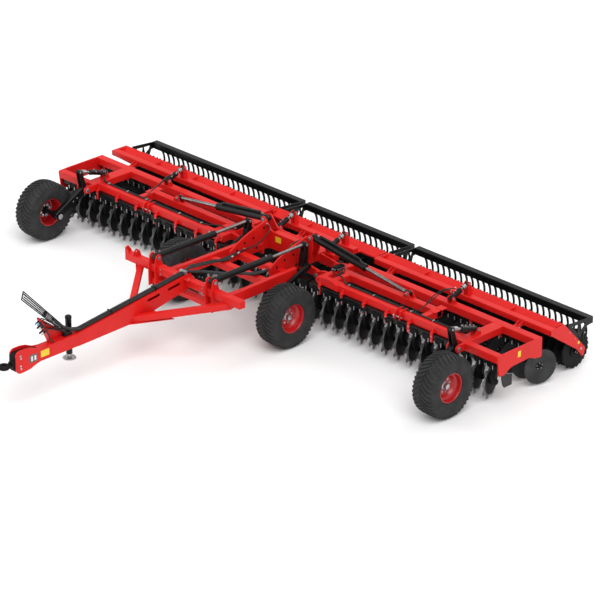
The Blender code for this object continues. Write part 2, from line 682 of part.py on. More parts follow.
# --- rollers ------------------------------------------------------------------------------------------
def roller_carrier(x0, x1, front_half=None):
    """The red frame that swings behind a rear beam and carries a roller between its end plates.

    front_half, if given, is half the length of a shortened front beam, which leaves the room that a folding
    wing's innermost discs sweep through.
    """
    low, high = min(x0, x1), max(x0, x1)
    front_low, front_high = (low, high) if front_half is None else (-front_half, front_half)
    plate_y = 1.79 if front_half is None else 1.956
    side_plate = [(plate_y, 0.76), (plate_y, 0.845), (2.09, 0.84), (2.56, 0.33), (2.52, 0.20)]
    pieces = [
        box((front_low, front_high), (1.79, 1.90), (0.755, 0.845)),
        bar((low, 2.02, 0.80), (high, 2.02, 0.80), 0.10, 0.13),
    ]
    for x in (front_low + 0.05, (low + high) / 2, front_high - 0.05):
        pieces.append(box((x - 0.02, x + 0.02), (1.85, 2.0), (0.76, 0.835)))
    ends = (low + 0.012, high - 0.012)
    pieces += [plate("X", x, 0.022, side_plate) for x in ends]
    return pieces


def carrier_hinge(x):
    """The fork on a roller carrier that takes the bracket of the frame ahead of it."""
    outline = [(1.82, 0.765), (1.82, 0.835)] + rounded(ROLLER_HINGE, 0.038, 90, 270)
    return [plate("X", x + gap, 0.016, outline) for gap in (-0.032, 0.032)]


def depth_arm(x):
    """The ears on a roller carrier that take a depth cylinder's rod."""
    outline = [(1.80, 0.83), (1.89, 0.83)] + rounded(DEPTH_EYE_YZ, 0.035, 0, 180)
    return [plate("X", x + gap, 0.012, outline) for gap in (-0.036, 0.036)]


def tine_rack(x0, x1, pitch):
    """The black bar above a roller, with its end frames and a row of curved scraper tines."""
    low, high = min(x0, x1) + 0.03, max(x0, x1) - 0.03
    pieces = [box((low, high), (TOP_BAR_Y - 0.055, TOP_BAR_Y + 0.055), (TOP_BAR_Z - 0.055, TOP_BAR_Z + 0.055))]
    frame = [(2.20, 0.745), (2.20, 0.80), (2.63, 0.758), (2.74, 0.758), (2.74, 0.66), (2.60, 0.64),
             (2.52, 0.42), (2.46, 0.44)]
    for x in (low + 0.01, high - 0.01):
        pieces.append(plate("X", x, 0.016, frame))
    count = int((high - low - 0.1) / pitch)
    first = (low + high) / 2 - pitch * (count - 1) / 2
    back = REACH_BACK - 0.012
    path = [(2.70, 0.67), (back - 0.01, 0.56), (back, 0.46), (back - 0.02, 0.36)]
    for i in range(count):
        x = first + pitch * i
        outline = [(y - 0.012, z) for y, z in path] + [(y + 0.012, z) for y, z in reversed(path)]
        pieces.append(plate("X", x, 0.016, outline))
    return pieces


def roller(x0, x1):
    """A roller section: its tube and its rings."""
    low, high = min(x0, x1) + 0.05, max(x0, x1) - 0.05
    core = 0.11
    rings = max(2, round((high - low) / ROLLER_RING_PITCH))
    profile = [(0.0, high), (core, high)]
    for i in range(rings):
        top = high - 0.03 - (high - low - 0.09) * i / (rings - 1)
        profile += [(core, top), (ROLLER_RADIUS, top), (ROLLER_RADIUS, top - 0.03), (core, top - 0.03)]
    profile += [(core, low), (0.0, low)]
    place = Matrix.Translation((0, ROLLER_Y, ROLLER_RADIUS)) @ Matrix.Rotation(math.pi / 2, 4, "Y")
    return [turned(profile, 12, place)]


def mirrored(point, side):
    """A point on the right or the left of the machine."""
    return (side * point[0], point[1], point[2])


def row_xs(end_x, first, last):
    """The disc places from one number to another, counted from the right-hand end."""
    return [end_x - DISC_PITCH * i for i in range(first, last + 1)]


def build():
    """Build every part."""
    harrow = Harrow(clear_scene())
    harrow.add("drawbar", drawbar(), RED_PAINT)
    harrow.add("tow_hitch", tow_hitch(), BLACK_PAINT)
    harrow.add("hose_rack", hose_rack(), BLACK_PAINT)
    harrow.add("coupler_bracket", coupler_bracket(), RED_PAINT)
    harrow.add("hose_bundle", hose_bundle(), HOSE_RUBBER, smooth=True)
    sleeve, leg = jack_parts()
    harrow.add("jack_sleeve", sleeve, BLACK_PAINT)
    harrow.add("jack_leg", leg, BLACK_PAINT, (JACK_X, JACK_Y, JACK_FOOT_Z))
    harrow.add("centre_frame", centre_frame(), RED_PAINT)
    harrow.add("centre_front_discs",
               disc_row((-0.80, 0.845), row_xs(FRONT_ROW_END_X, 15, 21), FRONT_CARRIER_Y, FRONT_ROW_Y, 1),
               DISC_STEEL)
    harrow.add("centre_rear_discs",
               disc_row((-0.74, 0.74), row_xs(REAR_ROW_END_X, 16, 21), REAR_CARRIER_Y, REAR_ROW_Y, -1),
               DISC_STEEL)
    for side, name in ((-1, "left"), (1, "right")):
        add_inner_wheel(harrow, side, name)
        add_wing(harrow, side, name)
    add_roller(harrow, "centre", -ROLLER_SPLIT_X + ROLLER_GAP / 2, ROLLER_SPLIT_X - ROLLER_GAP / 2,
               (-0.30, 0.30), (-CENTRE_DEPTH_X * 0.62, CENTRE_DEPTH_X * 0.62))


def add_inner_wheel(harrow, side, name):
    """A lifting wheel with its arm and its lift cylinder."""
    pivot = (side * INNER_ARM_X, *INNER_PIVOT)
    harrow.add(f"{name}_lift_arm", inner_arm(side), BLACK_PAINT, pivot)
    hub = (side * INNER_WHEEL_X, 0, HUB_Z)
    harrow.add(f"{name}_inner_tyre", tyre(side * INNER_WHEEL_X), TYRE_RUBBER, hub, True)
    harrow.add(f"{name}_inner_rim", rim(side * INNER_WHEEL_X, side), RED_PAINT, hub, True)
    base, eye = mirrored(LIFT_BASE, side), mirrored(LIFT_EYE, side)
    barrel, rod = cylinder(base, eye, LIFT_BARREL, 0.05, 0.025, 0.60, (1, 0, 0), 0.058)
    harrow.add(f"{name}_lift_barrel", barrel, BLACK_PAINT, base, True)
    harrow.add(f"{name}_lift_rod", rod, BRIGHT_ROD, eye, True)


def add_wing(harrow, side, name):
    """A folding wing with its discs, gauge wheel, roller and cylinders."""
    hinge = (side * WING_HINGE_X, FRONT_BEAM_Y, WING_HINGE_Z)
    harrow.add(f"{name}_wing_frame", wing_frame(side), RED_PAINT, hinge)
    front, rear = ((0, 14), (0, 15)) if side > 0 else ((22, 36), (22, 36))
    far = side * (HALF_WIDTH - 0.0255)
    front_start, rear_start = (0.895, 0.78) if side > 0 else (-0.90, -0.78)
    harrow.add(f"{name}_front_discs",
               disc_row((front_start, far), row_xs(FRONT_ROW_END_X, *front), FRONT_CARRIER_Y, FRONT_ROW_Y, 1)
               + deflector(side), DISC_STEEL)
    harrow.add(f"{name}_rear_discs",
               disc_row((rear_start, far), row_xs(REAR_ROW_END_X, *rear), REAR_CARRIER_Y, REAR_ROW_Y, -1),
               DISC_STEEL)
    harrow.add(f"{name}_gauge_arm", outer_arm(side), BLACK_PAINT, (side * FORK_X, *OUTER_PIVOT))
    hub = (side * OUTER_WHEEL_X, 0, HUB_Z)
    harrow.add(f"{name}_outer_tyre", tyre(side * OUTER_WHEEL_X), TYRE_RUBBER, hub, True)
    harrow.add(f"{name}_outer_rim", rim(side * OUTER_WHEEL_X, side), RED_PAINT, hub, True)
    base, eye = mirrored(GAUGE_BASE, side), mirrored(GAUGE_EYE, side)
    barrel, rod = cylinder(base, eye, GAUGE_BARREL, 0.036, 0.018, 0.20, (1, 0, 0), 0.056)
    harrow.add(f"{name}_gauge_barrel", barrel, BLACK_PAINT, base, True)
    harrow.add(f"{name}_gauge_rod", rod, BRIGHT_ROD, eye, True)
    base, eye = mirrored(FOLD_BASE, side), mirrored(FOLD_EYE, side)
    barrel, rod = cylinder(base, eye, FOLD_BARREL, 0.056, 0.028, 0.97, (0, 1, 0), 0.070)
    harrow.add(f"{name}_fold_barrel", barrel, BLACK_PAINT, base, True)
    harrow.add(f"{name}_fold_rod", rod, BRIGHT_ROD, eye, True)
    add_roller(harrow, name, side * (ROLLER_SPLIT_X + ROLLER_GAP / 2), side * (HALF_WIDTH - 0.005),
               (side * 1.6, side * 4.15), (side * WING_DEPTH_X,))


def add_roller(harrow, name, x0, x1, hinge_xs, depth_xs):
    """A roller section with its carrier, rack and depth cylinders."""
    pivot = (0, *ROLLER_HINGE)
    carrier = roller_carrier(x0, x1, CENTRE_CARRIER_HALF if name == "centre" else None)
    for x in hinge_xs:
        carrier += carrier_hinge(x)
    for x in depth_xs:
        carrier += depth_arm(x)
    harrow.add(f"{name}_roller_carrier", carrier, RED_PAINT, pivot)
    harrow.add(f"{name}_tine_rack", tine_rack(x0, x1, DISC_PITCH), BLACK_PAINT, pivot)
    harrow.add(f"{name}_roller", roller(x0, x1), BLACK_PAINT, (0, ROLLER_Y, ROLLER_RADIUS), True)
    for number, x in enumerate(depth_xs, 1):
        suffix = "" if len(depth_xs) == 1 else ("_left", "_right")[number - 1]
        base, eye = (x, *DEPTH_BASE_YZ), (x, *DEPTH_EYE_YZ)
        barrel, rod = cylinder(base, eye, DEPTH_BARREL, 0.036, 0.018, 0.13, (1, 0, 0), 0.056)
        harrow.add(f"{name}_depth_barrel{suffix}", barrel, BLACK_PAINT, base, True)
        harrow.add(f"{name}_depth_rod{suffix}", rod, BRIGHT_ROD, eye, True)


build()
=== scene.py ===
"""Looks of the folding disc harrow: every surface that shows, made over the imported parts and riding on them.

Sizes are in metres. X runs across the machine, the drawbar points to -Y, and Z is up. Places are counted from
the line between the wheel hubs (y = 0) and the ground (z = 0), and Stock.place moves them into the frame.
"""

import logging
import math
from collections.abc import Callable, Sequence
from dataclasses import dataclass, field
from enum import Enum

import bmesh
import bpy
from mathutils import Matrix, Vector

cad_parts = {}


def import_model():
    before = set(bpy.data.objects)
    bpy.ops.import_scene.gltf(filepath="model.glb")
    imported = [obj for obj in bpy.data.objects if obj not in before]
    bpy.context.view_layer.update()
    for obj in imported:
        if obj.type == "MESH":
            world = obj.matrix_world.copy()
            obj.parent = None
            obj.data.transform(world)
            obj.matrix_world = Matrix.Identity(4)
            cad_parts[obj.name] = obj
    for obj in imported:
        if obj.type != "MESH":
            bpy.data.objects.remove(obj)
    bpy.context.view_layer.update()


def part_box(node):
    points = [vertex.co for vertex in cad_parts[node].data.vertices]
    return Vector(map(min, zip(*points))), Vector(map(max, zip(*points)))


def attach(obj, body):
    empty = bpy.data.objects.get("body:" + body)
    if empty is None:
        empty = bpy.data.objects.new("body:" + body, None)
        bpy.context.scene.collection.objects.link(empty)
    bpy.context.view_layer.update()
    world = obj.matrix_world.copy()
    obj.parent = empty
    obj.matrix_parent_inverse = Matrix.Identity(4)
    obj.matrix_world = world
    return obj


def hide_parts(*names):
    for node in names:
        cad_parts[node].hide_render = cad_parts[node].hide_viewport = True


LOG = logging.getLogger("disc_harrow")

Point = tuple[float, float, float]
Flat = tuple[float, float]
Colour = tuple[float, float, float]
Span = tuple[float, float]

IDENTITY = Matrix.Identity(4)
UP = (0.0, 0.0, 1.0)
FORWARD = (0.0, -1.0, 0.0)
BACK = (0.0, 1.0, 0.0)

COAT_ROUGHNESS = 0.12
MOTTLE_STOPS = (0.36, 0.66)
BUMP_STRENGTH = 0.6
BEVEL_ANGLE = 0.6
SHARP_ANGLE = math.radians(38)

# Places where assemblies meet. A pair is (y, z), or (x, z) for what turns about Y.
HUB_Z = 0.47
WING_HINGE: Flat = (0.80, 0.70)
FOLD_Y = 1.21
FOLD_BASE: Flat = (0.50, 1.144)
FOLD_EYE: Flat = (2.48, 0.877)
LIFT_X = 0.61
LIFT_BASE: Flat = (-0.97, 1.156)
LIFT_EYE: Flat = (0.92, 1.16)
GAUGE_X = 4.0
GAUGE_PIVOT: Flat = (0.55, 0.76)
GAUGE_BASE: Flat = (1.00, 0.90)
GAUGE_EYE: Flat = (0.47, 1.07)
REAR_BEAM_Y = 1.53
DEPTH_BASE: Flat = (1.49, 0.90)
DEPTH_EYE: Flat = (1.83, 1.03)
CENTRE_DEPTH_X, WING_DEPTH_X = 0.5456, 3.06
ROLLER_HINGE: Flat = (1.70, 0.74)
CENTRE_BRACKET_X = 0.30
WING_BRACKET_XS: Span = (1.6, 4.15)


# --- finishes -----------------------------------------------------------------------------------------
@dataclass(frozen=True)
class Surface:
    """A finish: its two colours, how they mottle, its gloss and its fine bumps."""

    colour: Colour
    shade: Colour
    gloss: Span
    patch: float = 3.0
    metal: float = 0.0
    coat: float = 0.0
    grain: float = 220.0
    bump: float = 0.0004
    slot: str = "red_paint"
    specular: float = 0.5

    def material(self, name: str) -> bpy.types.Material:
        """Make the finish's material.

        Args:
            name: What the material is called.

        Returns:
            A material whose colour, roughness and bump come from noise in the piece's own space.
        """
        made = bpy.data.materials.new(name)
        made.use_nodes = True
        tree = made.node_tree
        shader = tree.nodes["Principled BSDF"]
        shader.inputs["Metallic"].default_value = self.metal
        shader.inputs["Coat Weight"].default_value = self.coat
        shader.inputs["Coat Roughness"].default_value = COAT_ROUGHNESS
        shader.inputs["Specular IOR Level"].default_value = self.specular
        spot = tree.nodes.new("ShaderNodeTexCoord").outputs["Object"]
        self._colour(tree, shader, spot)
        self._relief(tree, shader, spot)
        return made

    def _noise(self, tree: bpy.types.NodeTree, spot: bpy.types.NodeSocket, scale: float,
               detail: float) -> bpy.types.NodeSocket:
        """Add a noise texture and return its value's socket.

        Args:
            tree: The material's nodes.
            spot: The socket that gives the place on the surface.
            scale: How fine the noise is.
            detail: How many finer layers it has.

        Returns:
            The noise's value.
        """
        noise = tree.nodes.new("ShaderNodeTexNoise")
        noise.inputs["Scale"].default_value = scale
        noise.inputs["Detail"].default_value = detail
        tree.links.new(spot, noise.inputs["Vector"])
        return noise.outputs["Fac"]

    def _colour(self, tree: bpy.types.NodeTree, shader: bpy.types.Node, spot: bpy.types.NodeSocket) -> None:
        """Mottle the base colour between the finish's two colours.

        Args:
            tree: The material's nodes.
            shader: The shader to feed.
            spot: The socket that gives the place on the surface.
        """
        ramp = tree.nodes.new("ShaderNodeValToRGB")
        for stop, position, colour in zip(ramp.color_ramp.elements, MOTTLE_STOPS, (self.shade, self.colour)):
            stop.position = position
            stop.color = (*colour, 1.0)
        tree.links.new(self._noise(tree, spot, self.patch, 4.0), ramp.inputs["Fac"])
        tree.links.new(ramp.outputs["Color"], shader.inputs["Base Color"])

    def _relief(self, tree: bpy.types.NodeTree, shader: bpy.types.Node, spot: bpy.types.NodeSocket) -> None:
        """Vary the roughness and raise the fine grain.

        Args:
            tree: The material's nodes.
            shader: The shader to feed.
            spot: The socket that gives the place on the surface.
        """
        spread = tree.nodes.new("ShaderNodeMapRange")
        spread.inputs["To Min"].default_value, spread.inputs["To Max"].default_value = self.gloss
        tree.links.new(self._noise(tree, spot, self.patch * 7.0, 3.0), spread.inputs["Value"])
        tree.links.new(spread.outputs["Result"], shader.inputs["Roughness"])
        relief = tree.nodes.new("ShaderNodeBump")
        relief.inputs["Distance"].default_value = self.bump
        relief.inputs["Strength"].default_value = BUMP_STRENGTH
        tree.links.new(self._noise(tree, spot, self.grain, 2.0), relief.inputs["Height"])
        tree.links.new(relief.outputs["Normal"], shader.inputs["Normal"])


class Finish(Enum):
    """The finishes on the machine."""

    RED_PAINT = Surface((0.66, 0.010, 0.008), (0.60, 0.008, 0.006), (0.36, 0.50), coat=0.04, bump=0.0003,
                        specular=0.28)
    RIM_PAINT = Surface((0.42, 0.006, 0.009), (0.34, 0.005, 0.007), (0.28, 0.42), coat=0.2, bump=0.0003)
    BLACK_PAINT = Surface((0.0065, 0.0065, 0.007), (0.004, 0.004, 0.0045), (0.25, 0.38), slot="black_paint",
                          specular=0.24)
    CAST_BLACK = Surface((0.006, 0.006, 0.0065), (0.003, 0.003, 0.0035), (0.48, 0.66), 9.0, grain=120.0,
                         bump=0.0012, slot="black_paint", specular=0.14)
    BLADE = Surface((0.040, 0.041, 0.043), (0.022, 0.023, 0.024), (0.32, 0.50), 6.0, 0.55, grain=90.0,
                    slot="disc_steel")
    NOTCHED_BLADE = Surface((0.170, 0.172, 0.178), (0.095, 0.097, 0.101), (0.36, 0.52), 5.0, 0.35, grain=90.0,
                            slot="disc_steel")
    TREAD = Surface((0.030, 0.030, 0.031), (0.018, 0.018, 0.019), (0.62, 0.82), 8.0, grain=160.0, bump=0.0012,
                    slot="tyre", specular=0.3)
    ROD_CHROME = Surface((0.34, 0.33, 0.32), (0.24, 0.235, 0.23), (0.20, 0.32), 14.0, 1.0, grain=400.0,
                         bump=0.00005, slot="rod_chrome")
    ZINC = Surface((0.56, 0.56, 0.58), (0.36, 0.36, 0.37), (0.28, 0.42), 40.0, 0.9, grain=300.0,
                   slot="rod_chrome")
    HOSE = Surface((0.020, 0.020, 0.021), (0.010, 0.010, 0.011), (0.40, 0.56), 20.0, grain=500.0, bump=0.0008,
                   slot="hose", specular=0.35)
    LABEL = Surface((0.80, 0.60, 0.02), (0.72, 0.52, 0.02), (0.35, 0.45), 12.0, slot="red_paint")
    GREY_PLATE = Surface((0.12, 0.125, 0.135), (0.08, 0.085, 0.09), (0.35, 0.50), 18.0, 0.2,
                         slot="black_paint")
    GUARD_STEEL = Surface((0.020, 0.020, 0.021), (0.012, 0.012, 0.013), (0.36, 0.50), 7.0, 0.3,
                          slot="disc_steel")
    WHITE_MARK = Surface((0.72, 0.72, 0.72), (0.66, 0.66, 0.66), (0.35, 0.50), 18.0, slot="black_paint")
    BLUE_CAP = Surface((0.10, 0.30, 0.42), (0.07, 0.22, 0.32), (0.35, 0.50), 18.0, slot="black_paint")
    FLOOR = Surface((0.90, 0.90, 0.90), (0.89, 0.89, 0.89), (0.80, 0.90), 0.4, grain=30.0, bump=0.0001,
                    specular=0.1)


# --- shapes -------------------------------------------------------------------------------------------
def arc(centre: Flat, radius: float, start: float, end: float, count: int = 8) -> list[Flat]:
    """Points on an arc.

    Args:
        centre: The arc's centre.
        radius: Its radius.
        start: Its first angle, in degrees.
        end: Its last angle, in degrees.
        count: How many steps it has.

    Returns:
        The points, from start to end.
    """
    steps = [math.radians(start + (end - start) * i / count) for i in range(count + 1)]
    return [(centre[0] + radius * math.cos(a), centre[1] + radius * math.sin(a)) for a in steps]


def round_hole(centre: Flat, radius: float, count: int = 12) -> list[Flat]:
    """The outline of a round hole."""
    return arc(centre, radius, 0, 345, count)


def round_places(count: int, radius: float, height: float, first: float = 0.0) -> list[Matrix]:
    """Places spread evenly round a circle about Z, from a first angle."""
    turns = [first + 2 * math.pi * i / count for i in range(count)]
    return [Matrix.Translation((radius * math.cos(t), radius * math.sin(t), height)) for t in turns]


def slot_hole(centre: Flat, half: float, radius: float, tilt: float = 0.0) -> list[Flat]:
    """The outline of a round-ended slot that runs along its first axis, tilted in degrees.

    Args:
        centre: Its middle.
        half: Half of its length.
        radius: Its radius.
        tilt: Its tilt in degrees.

    Returns:
        The outline's points.
    """
    turn = math.radians(tilt)
    points = arc((half, 0.0), radius, -90, 90) + arc((-half, 0.0), radius, 90, 270)
    return [(centre[0] + a * math.cos(turn) - b * math.sin(turn),
             centre[1] + a * math.sin(turn) + b * math.cos(turn)) for a, b in points]


def smooth_path(points: Sequence[Point], steps: int) -> list[Vector]:
    """Points on a smooth curve through the given ones.

    Args:
        points: What the curve passes through.
        steps: How many steps each stretch is cut into.

    Returns:
        The curve's points.
    """
    knots = [Vector(p) for p in points]
    ends = [knots[0] * 2 - knots[1], *knots, knots[-1] * 2 - knots[-2]]
    path = []
    for a, b, c, d in zip(ends, ends[1:], ends[2:], ends[3:]):
        for i in range(steps):
            t = i / steps
            path.append(0.5 * (2 * b + (c - a) * t + (2 * a - 5 * b + 4 * c - d) * t * t
                               + (3 * b - a - 3 * c + d) * t ** 3))
    return [*path, knots[-1]]


def towards(direction: Sequence[float], at: Sequence[float] = (0.0, 0.0, 0.0)) -> Matrix:
    """A place whose Z axis points along a direction.

    Args:
        direction: Where Z points.
        at: The place's origin.

    Returns:
        The matrix.
    """
    z = Vector(direction).normalized()
    side = Vector(UP) if abs(z.z) < 0.95 else Vector((0.0, 1.0, 0.0))
    x = (side - side.dot(z) * z).normalized()
    turn = Matrix((x, z.cross(x), z)).transposed().to_4x4()
    return Matrix.Translation(Vector(at)) @ turn


FLAT_TO_SPACE: dict[str, Matrix] = {
    "X": Matrix(((0, 0, 1, 0), (1, 0, 0, 0), (0, 1, 0, 0), (0, 0, 0, 1))),
    "Y": Matrix(((1, 0, 0, 0), (0, 0, -1, 0), (0, 1, 0, 0), (0, 0, 0, 1))),
    "Z": IDENTITY.copy(),
}


class Shape:
    """A mesh in the making. Solids are added to it one after another, and each is moved by its place."""

    def __init__(self, place: Matrix = IDENTITY) -> None:
        """Start an empty mesh whose solids are all moved by place."""
        self.place = place.copy()
        self.made = bmesh.new()

    def take(self, part: bmesh.types.BMesh, at: Matrix = IDENTITY, bevel: float = 0.0,
             rounds: int = 1) -> None:
        """Round a solid's edges and add it.

        Args:
            part: The solid. It is used up.
            at: Where it goes.
            bevel: How far its edges are rounded.
            rounds: How many steps the rounding has.
        """
        bmesh.ops.recalc_face_normals(part, faces=part.faces)
        if bevel:
            sharp = [e for e in part.edges if len(e.link_faces) == 2 and e.calc_face_angle(0.0) > BEVEL_ANGLE]
            bmesh.ops.bevel(part, geom=sharp, offset=bevel, segments=rounds, profile=0.5, affect="EDGES",
                            clamp_overlap=True)
        mesh = bpy.data.meshes.new("solid")
        part.to_mesh(mesh)
        part.free()
        self.stamp(mesh, at)
        bpy.data.meshes.remove(mesh)

    def stamp(self, mesh: bpy.types.Mesh, at: Matrix) -> None:
        """Add a copy of a finished mesh.

        Args:
            mesh: What is copied.
            at: Where the copy goes.
        """
        copy = mesh.copy()
        moved = self.place @ at
        copy.transform(moved)
        if moved.determinant() < 0:
            copy.flip_normals()
        self.made.from_mesh(copy)
        bpy.data.meshes.remove(copy)

    def block(self, xs: Span, ys: Span, zs: Span, bevel: float = 0.004, rounds: int = 1) -> None:
        """Add a box between two values on each axis, with rounded edges.

        Args:
            xs: Its ends along X.
            ys: Its ends along Y.
            zs: Its ends along Z.
            bevel: How far its edges are rounded.
            rounds: How many steps the rounding takes.
        """
        part = bmesh.new()
        bmesh.ops.create_cube(part, size=1.0)
        size = Matrix.Diagonal((abs(xs[1] - xs[0]), abs(ys[1] - ys[0]), abs(zs[1] - zs[0]), 1.0))
        middle = Matrix.Translation((sum(xs) / 2, sum(ys) / 2, sum(zs) / 2))
        part.transform(middle @ size)
        self.take(part, bevel=bevel, rounds=rounds)

    def beam(self, start: Sequence[float], end: Sequence[float], tall: float, wide: float,
             bevel: float = 0.008, rounds: int = 2) -> None:
        """Add a square tube between two points.

        Args:
            start: The middle of its first end.
            end: The middle of its last end.
            tall: Its height across its upright side.
            wide: Its width.
            bevel: The radius of its corners.
            rounds: How many steps a corner has.
        """
        way = Vector(end) - Vector(start)
        part = bmesh.new()
        bmesh.ops.create_cube(part, size=1.0)
        size = Matrix.Diagonal((tall, wide, way.length, 1.0))
        part.transform(Matrix.Translation((0, 0, way.length / 2)) @ size)
        self.take(part, towards(way, start), bevel, rounds)

    def rod(self, start: Sequence[float], end: Sequence[float], radius: float, sides: int = 16,
            tip: float | None = None, bevel: float = 0.0) -> None:
        """Add a round bar between two points, with radius tip at its end where it tapers.

        Args:
            start: Where it starts.
            end: Where it ends.
            radius: Its radius.
            sides: How many sides it has.
            tip: Its radius at the end, where it tapers.
            bevel: How far its edges are rounded.
        """
        way = Vector(end) - Vector(start)
        part = bmesh.new()
        bmesh.ops.create_cone(part, cap_ends=True, segments=sides, radius1=radius,
                              radius2=radius if tip is None else tip, depth=way.length)
        part.transform(Matrix.Translation((0, 0, way.length / 2)))
        self.take(part, towards(way, start), bevel)

    def sheet(self, axis: str, at: float, thick: float, outline: Sequence[Flat],
              holes: Sequence[Sequence[Flat]] = (), bevel: float = 0.0015) -> None:
        """Add a flat plate square to an axis.

        Args:
            axis: The axis that the plate is square to.
            at: Its middle on that axis.
            thick: Its thickness.
            outline: Its (y, z), (x, z) or (x, y) points.
            holes: The outlines of its holes.
            bevel: How far its edges are rounded.
        """
        curve = bpy.data.curves.new("sheet", "CURVE")
        curve.dimensions = "2D"
        curve.fill_mode = "BOTH"
        curve.extrude = thick / 2 - bevel
        curve.bevel_depth = bevel
        curve.bevel_resolution = 0
        curve.offset = -bevel
        for points in (outline, *holes):
            line = curve.splines.new("POLY")
            line.points.add(len(points) - 1)
            for knot, (a, b) in zip(line.points, points):
                knot.co = (a, b, 0.0, 1.0)
            line.use_cyclic_u = True
        holder = bpy.data.objects.new("sheet", curve)
        mesh = bpy.data.meshes.new_from_object(holder)
        bpy.data.objects.remove(holder)
        bpy.data.curves.remove(curve)
        part = bmesh.new()
        part.from_mesh(mesh)
        bpy.data.meshes.remove(mesh)
        bmesh.ops.remove_doubles(part, verts=part.verts, dist=1e-5)
        shift = {"X": (at, 0, 0), "Y": (0, at, 0), "Z": (0, 0, at)}[axis]
        self.take(part, Matrix.Translation(shift) @ FLAT_TO_SPACE[axis])

    def twins(self, axis: str, middle: float, gap: float, thick: float, outline: Sequence[Flat],
              holes: Sequence[Sequence[Flat]] = (), bevel: float = 0.0015) -> None:
        """Add two like plates, each a gap away from a middle."""
        for way in (-gap, gap):
            self.sheet(axis, middle + way, thick, outline, holes, bevel)

    def turned(self, profile: Sequence[Flat], at: Matrix, steps: int = 32, ring: bool = False,
               edge: Callable[[int, float], float] | None = None) -> None:
        """Add a solid turned about its place's Z axis.

        Args:
            profile: Its (radius, height) points.
            at: Where it goes.
            steps: How many steps go round it.
            ring: Whether the profile closes on itself and leaves the middle open.
            edge: Gives each point's radius from its number in the profile and its angle, where it varies.
        """
        part = bmesh.new()
        rows = []
        for number, (radius, height) in enumerate(profile):
            if radius < 1e-6:
                rows.append([part.verts.new((0.0, 0.0, height))])
                continue
            row = []
            for i in range(steps):
                angle = 2 * math.pi * i / steps
                reach = edge(number, angle) if edge else radius
                row.append(part.verts.new((reach * math.cos(angle), reach * math.sin(angle), height)))
            rows.append(row)
        pairs = list(zip(rows, rows[1:])) + ([(rows[-1], rows[0])] if ring else [])
        for a, b in pairs:
            for i in range(steps):
                j = (i + 1) % steps
                corners = [a[i % len(a)], a[j % len(a)], b[j % len(b)], b[i % len(b)]]
                corners = list(dict.fromkeys(corners))
                if len(corners) > 2:
                    part.faces.new(corners)
        self.take(part, at)

    def hose(self, points: Sequence[Point], radius: float, sides: int = 8, steps: int = 5) -> None:
        """Add a round hose on a smooth curve.

        Args:
            points: What it passes through.
            radius: Its radius.
            sides: How many sides it has.
            steps: How many steps each stretch has.
        """
        path = smooth_path(points, steps)
        part = bmesh.new()
        across = Vector(UP)
        rows = []
        for i, here in enumerate(path):
            way = (path[min(i + 1, len(path) - 1)] - path[max(i - 1, 0)]).normalized()
            across = across - across.dot(way) * way
            if across.length < 1e-3:
                across = way.orthogonal()
            across.normalize()
            other = way.cross(across)
            rows.append([part.verts.new(here + radius * (math.cos(a) * across + math.sin(a) * other))
                         for a in (2 * math.pi * k / sides for k in range(sides))])
        for a, b in zip(rows, rows[1:]):
            for k in range(sides):
                part.faces.new((a[k], a[(k + 1) % sides], b[(k + 1) % sides], b[k]))
        part.faces.new(rows[0])
        part.faces.new(rows[-1])
        self.take(part)

    def mesh(self, name: str) -> bpy.types.Mesh:
        """The finished mesh, shaded smooth but for its sharp edges.

        Args:
            name: The mesh's name.

        Returns:
            The mesh.
        """
        made = bpy.data.meshes.new(name)
        self.made.to_mesh(made)
        self.made.free()
        made.shade_smooth()
        made.set_sharp_from_angle(angle=SHARP_ANGLE)
        return made


@dataclass
class Stock:
    """What every assembly draws on: the machine's place in the frame, the finishes and the small hardware."""

    hub_y: float
    materials: dict[Finish, bpy.types.Material] = field(default_factory=dict)
    bolt: bpy.types.Mesh | None = None
    pin_head: bpy.types.Mesh | None = None

    def __post_init__(self) -> None:
        """Make the materials and the hardware."""
        for finish in Finish:
            self.materials[finish] = finish.value.material(finish.name.lower())
        bolt = Shape()
        bolt.turned([(0.0, 0.0), (0.95, 0.0), (0.95, 0.12), (0.0, 0.12)], IDENTITY, 14)
        bolt.turned([(0.0, 0.1), (0.62, 0.1), (0.62, 0.52), (0.5, 0.62), (0.0, 0.62)], IDENTITY, 6)
        self.bolt = bolt.mesh("bolt")
        head = Shape()
        head.turned([(0.0, 0.0), (1.0, 0.0), (1.0, 0.25), (0.86, 0.36), (0.0, 0.36)], IDENTITY, 20)
        head.turned([(0.0, 0.3), (0.3, 0.3), (0.3, 0.42), (0.0, 0.42)], IDENTITY, 8)
        self.pin_head = head.mesh("pin_head")

    def place(self, side: int = 1) -> Matrix:
        """The matrix that takes a place from the hub line into the frame, mirrored on the left side."""
        return Matrix.Translation((0.0, self.hub_y, 0.0)) @ Matrix.Diagonal((side, 1.0, 1.0, 1.0))


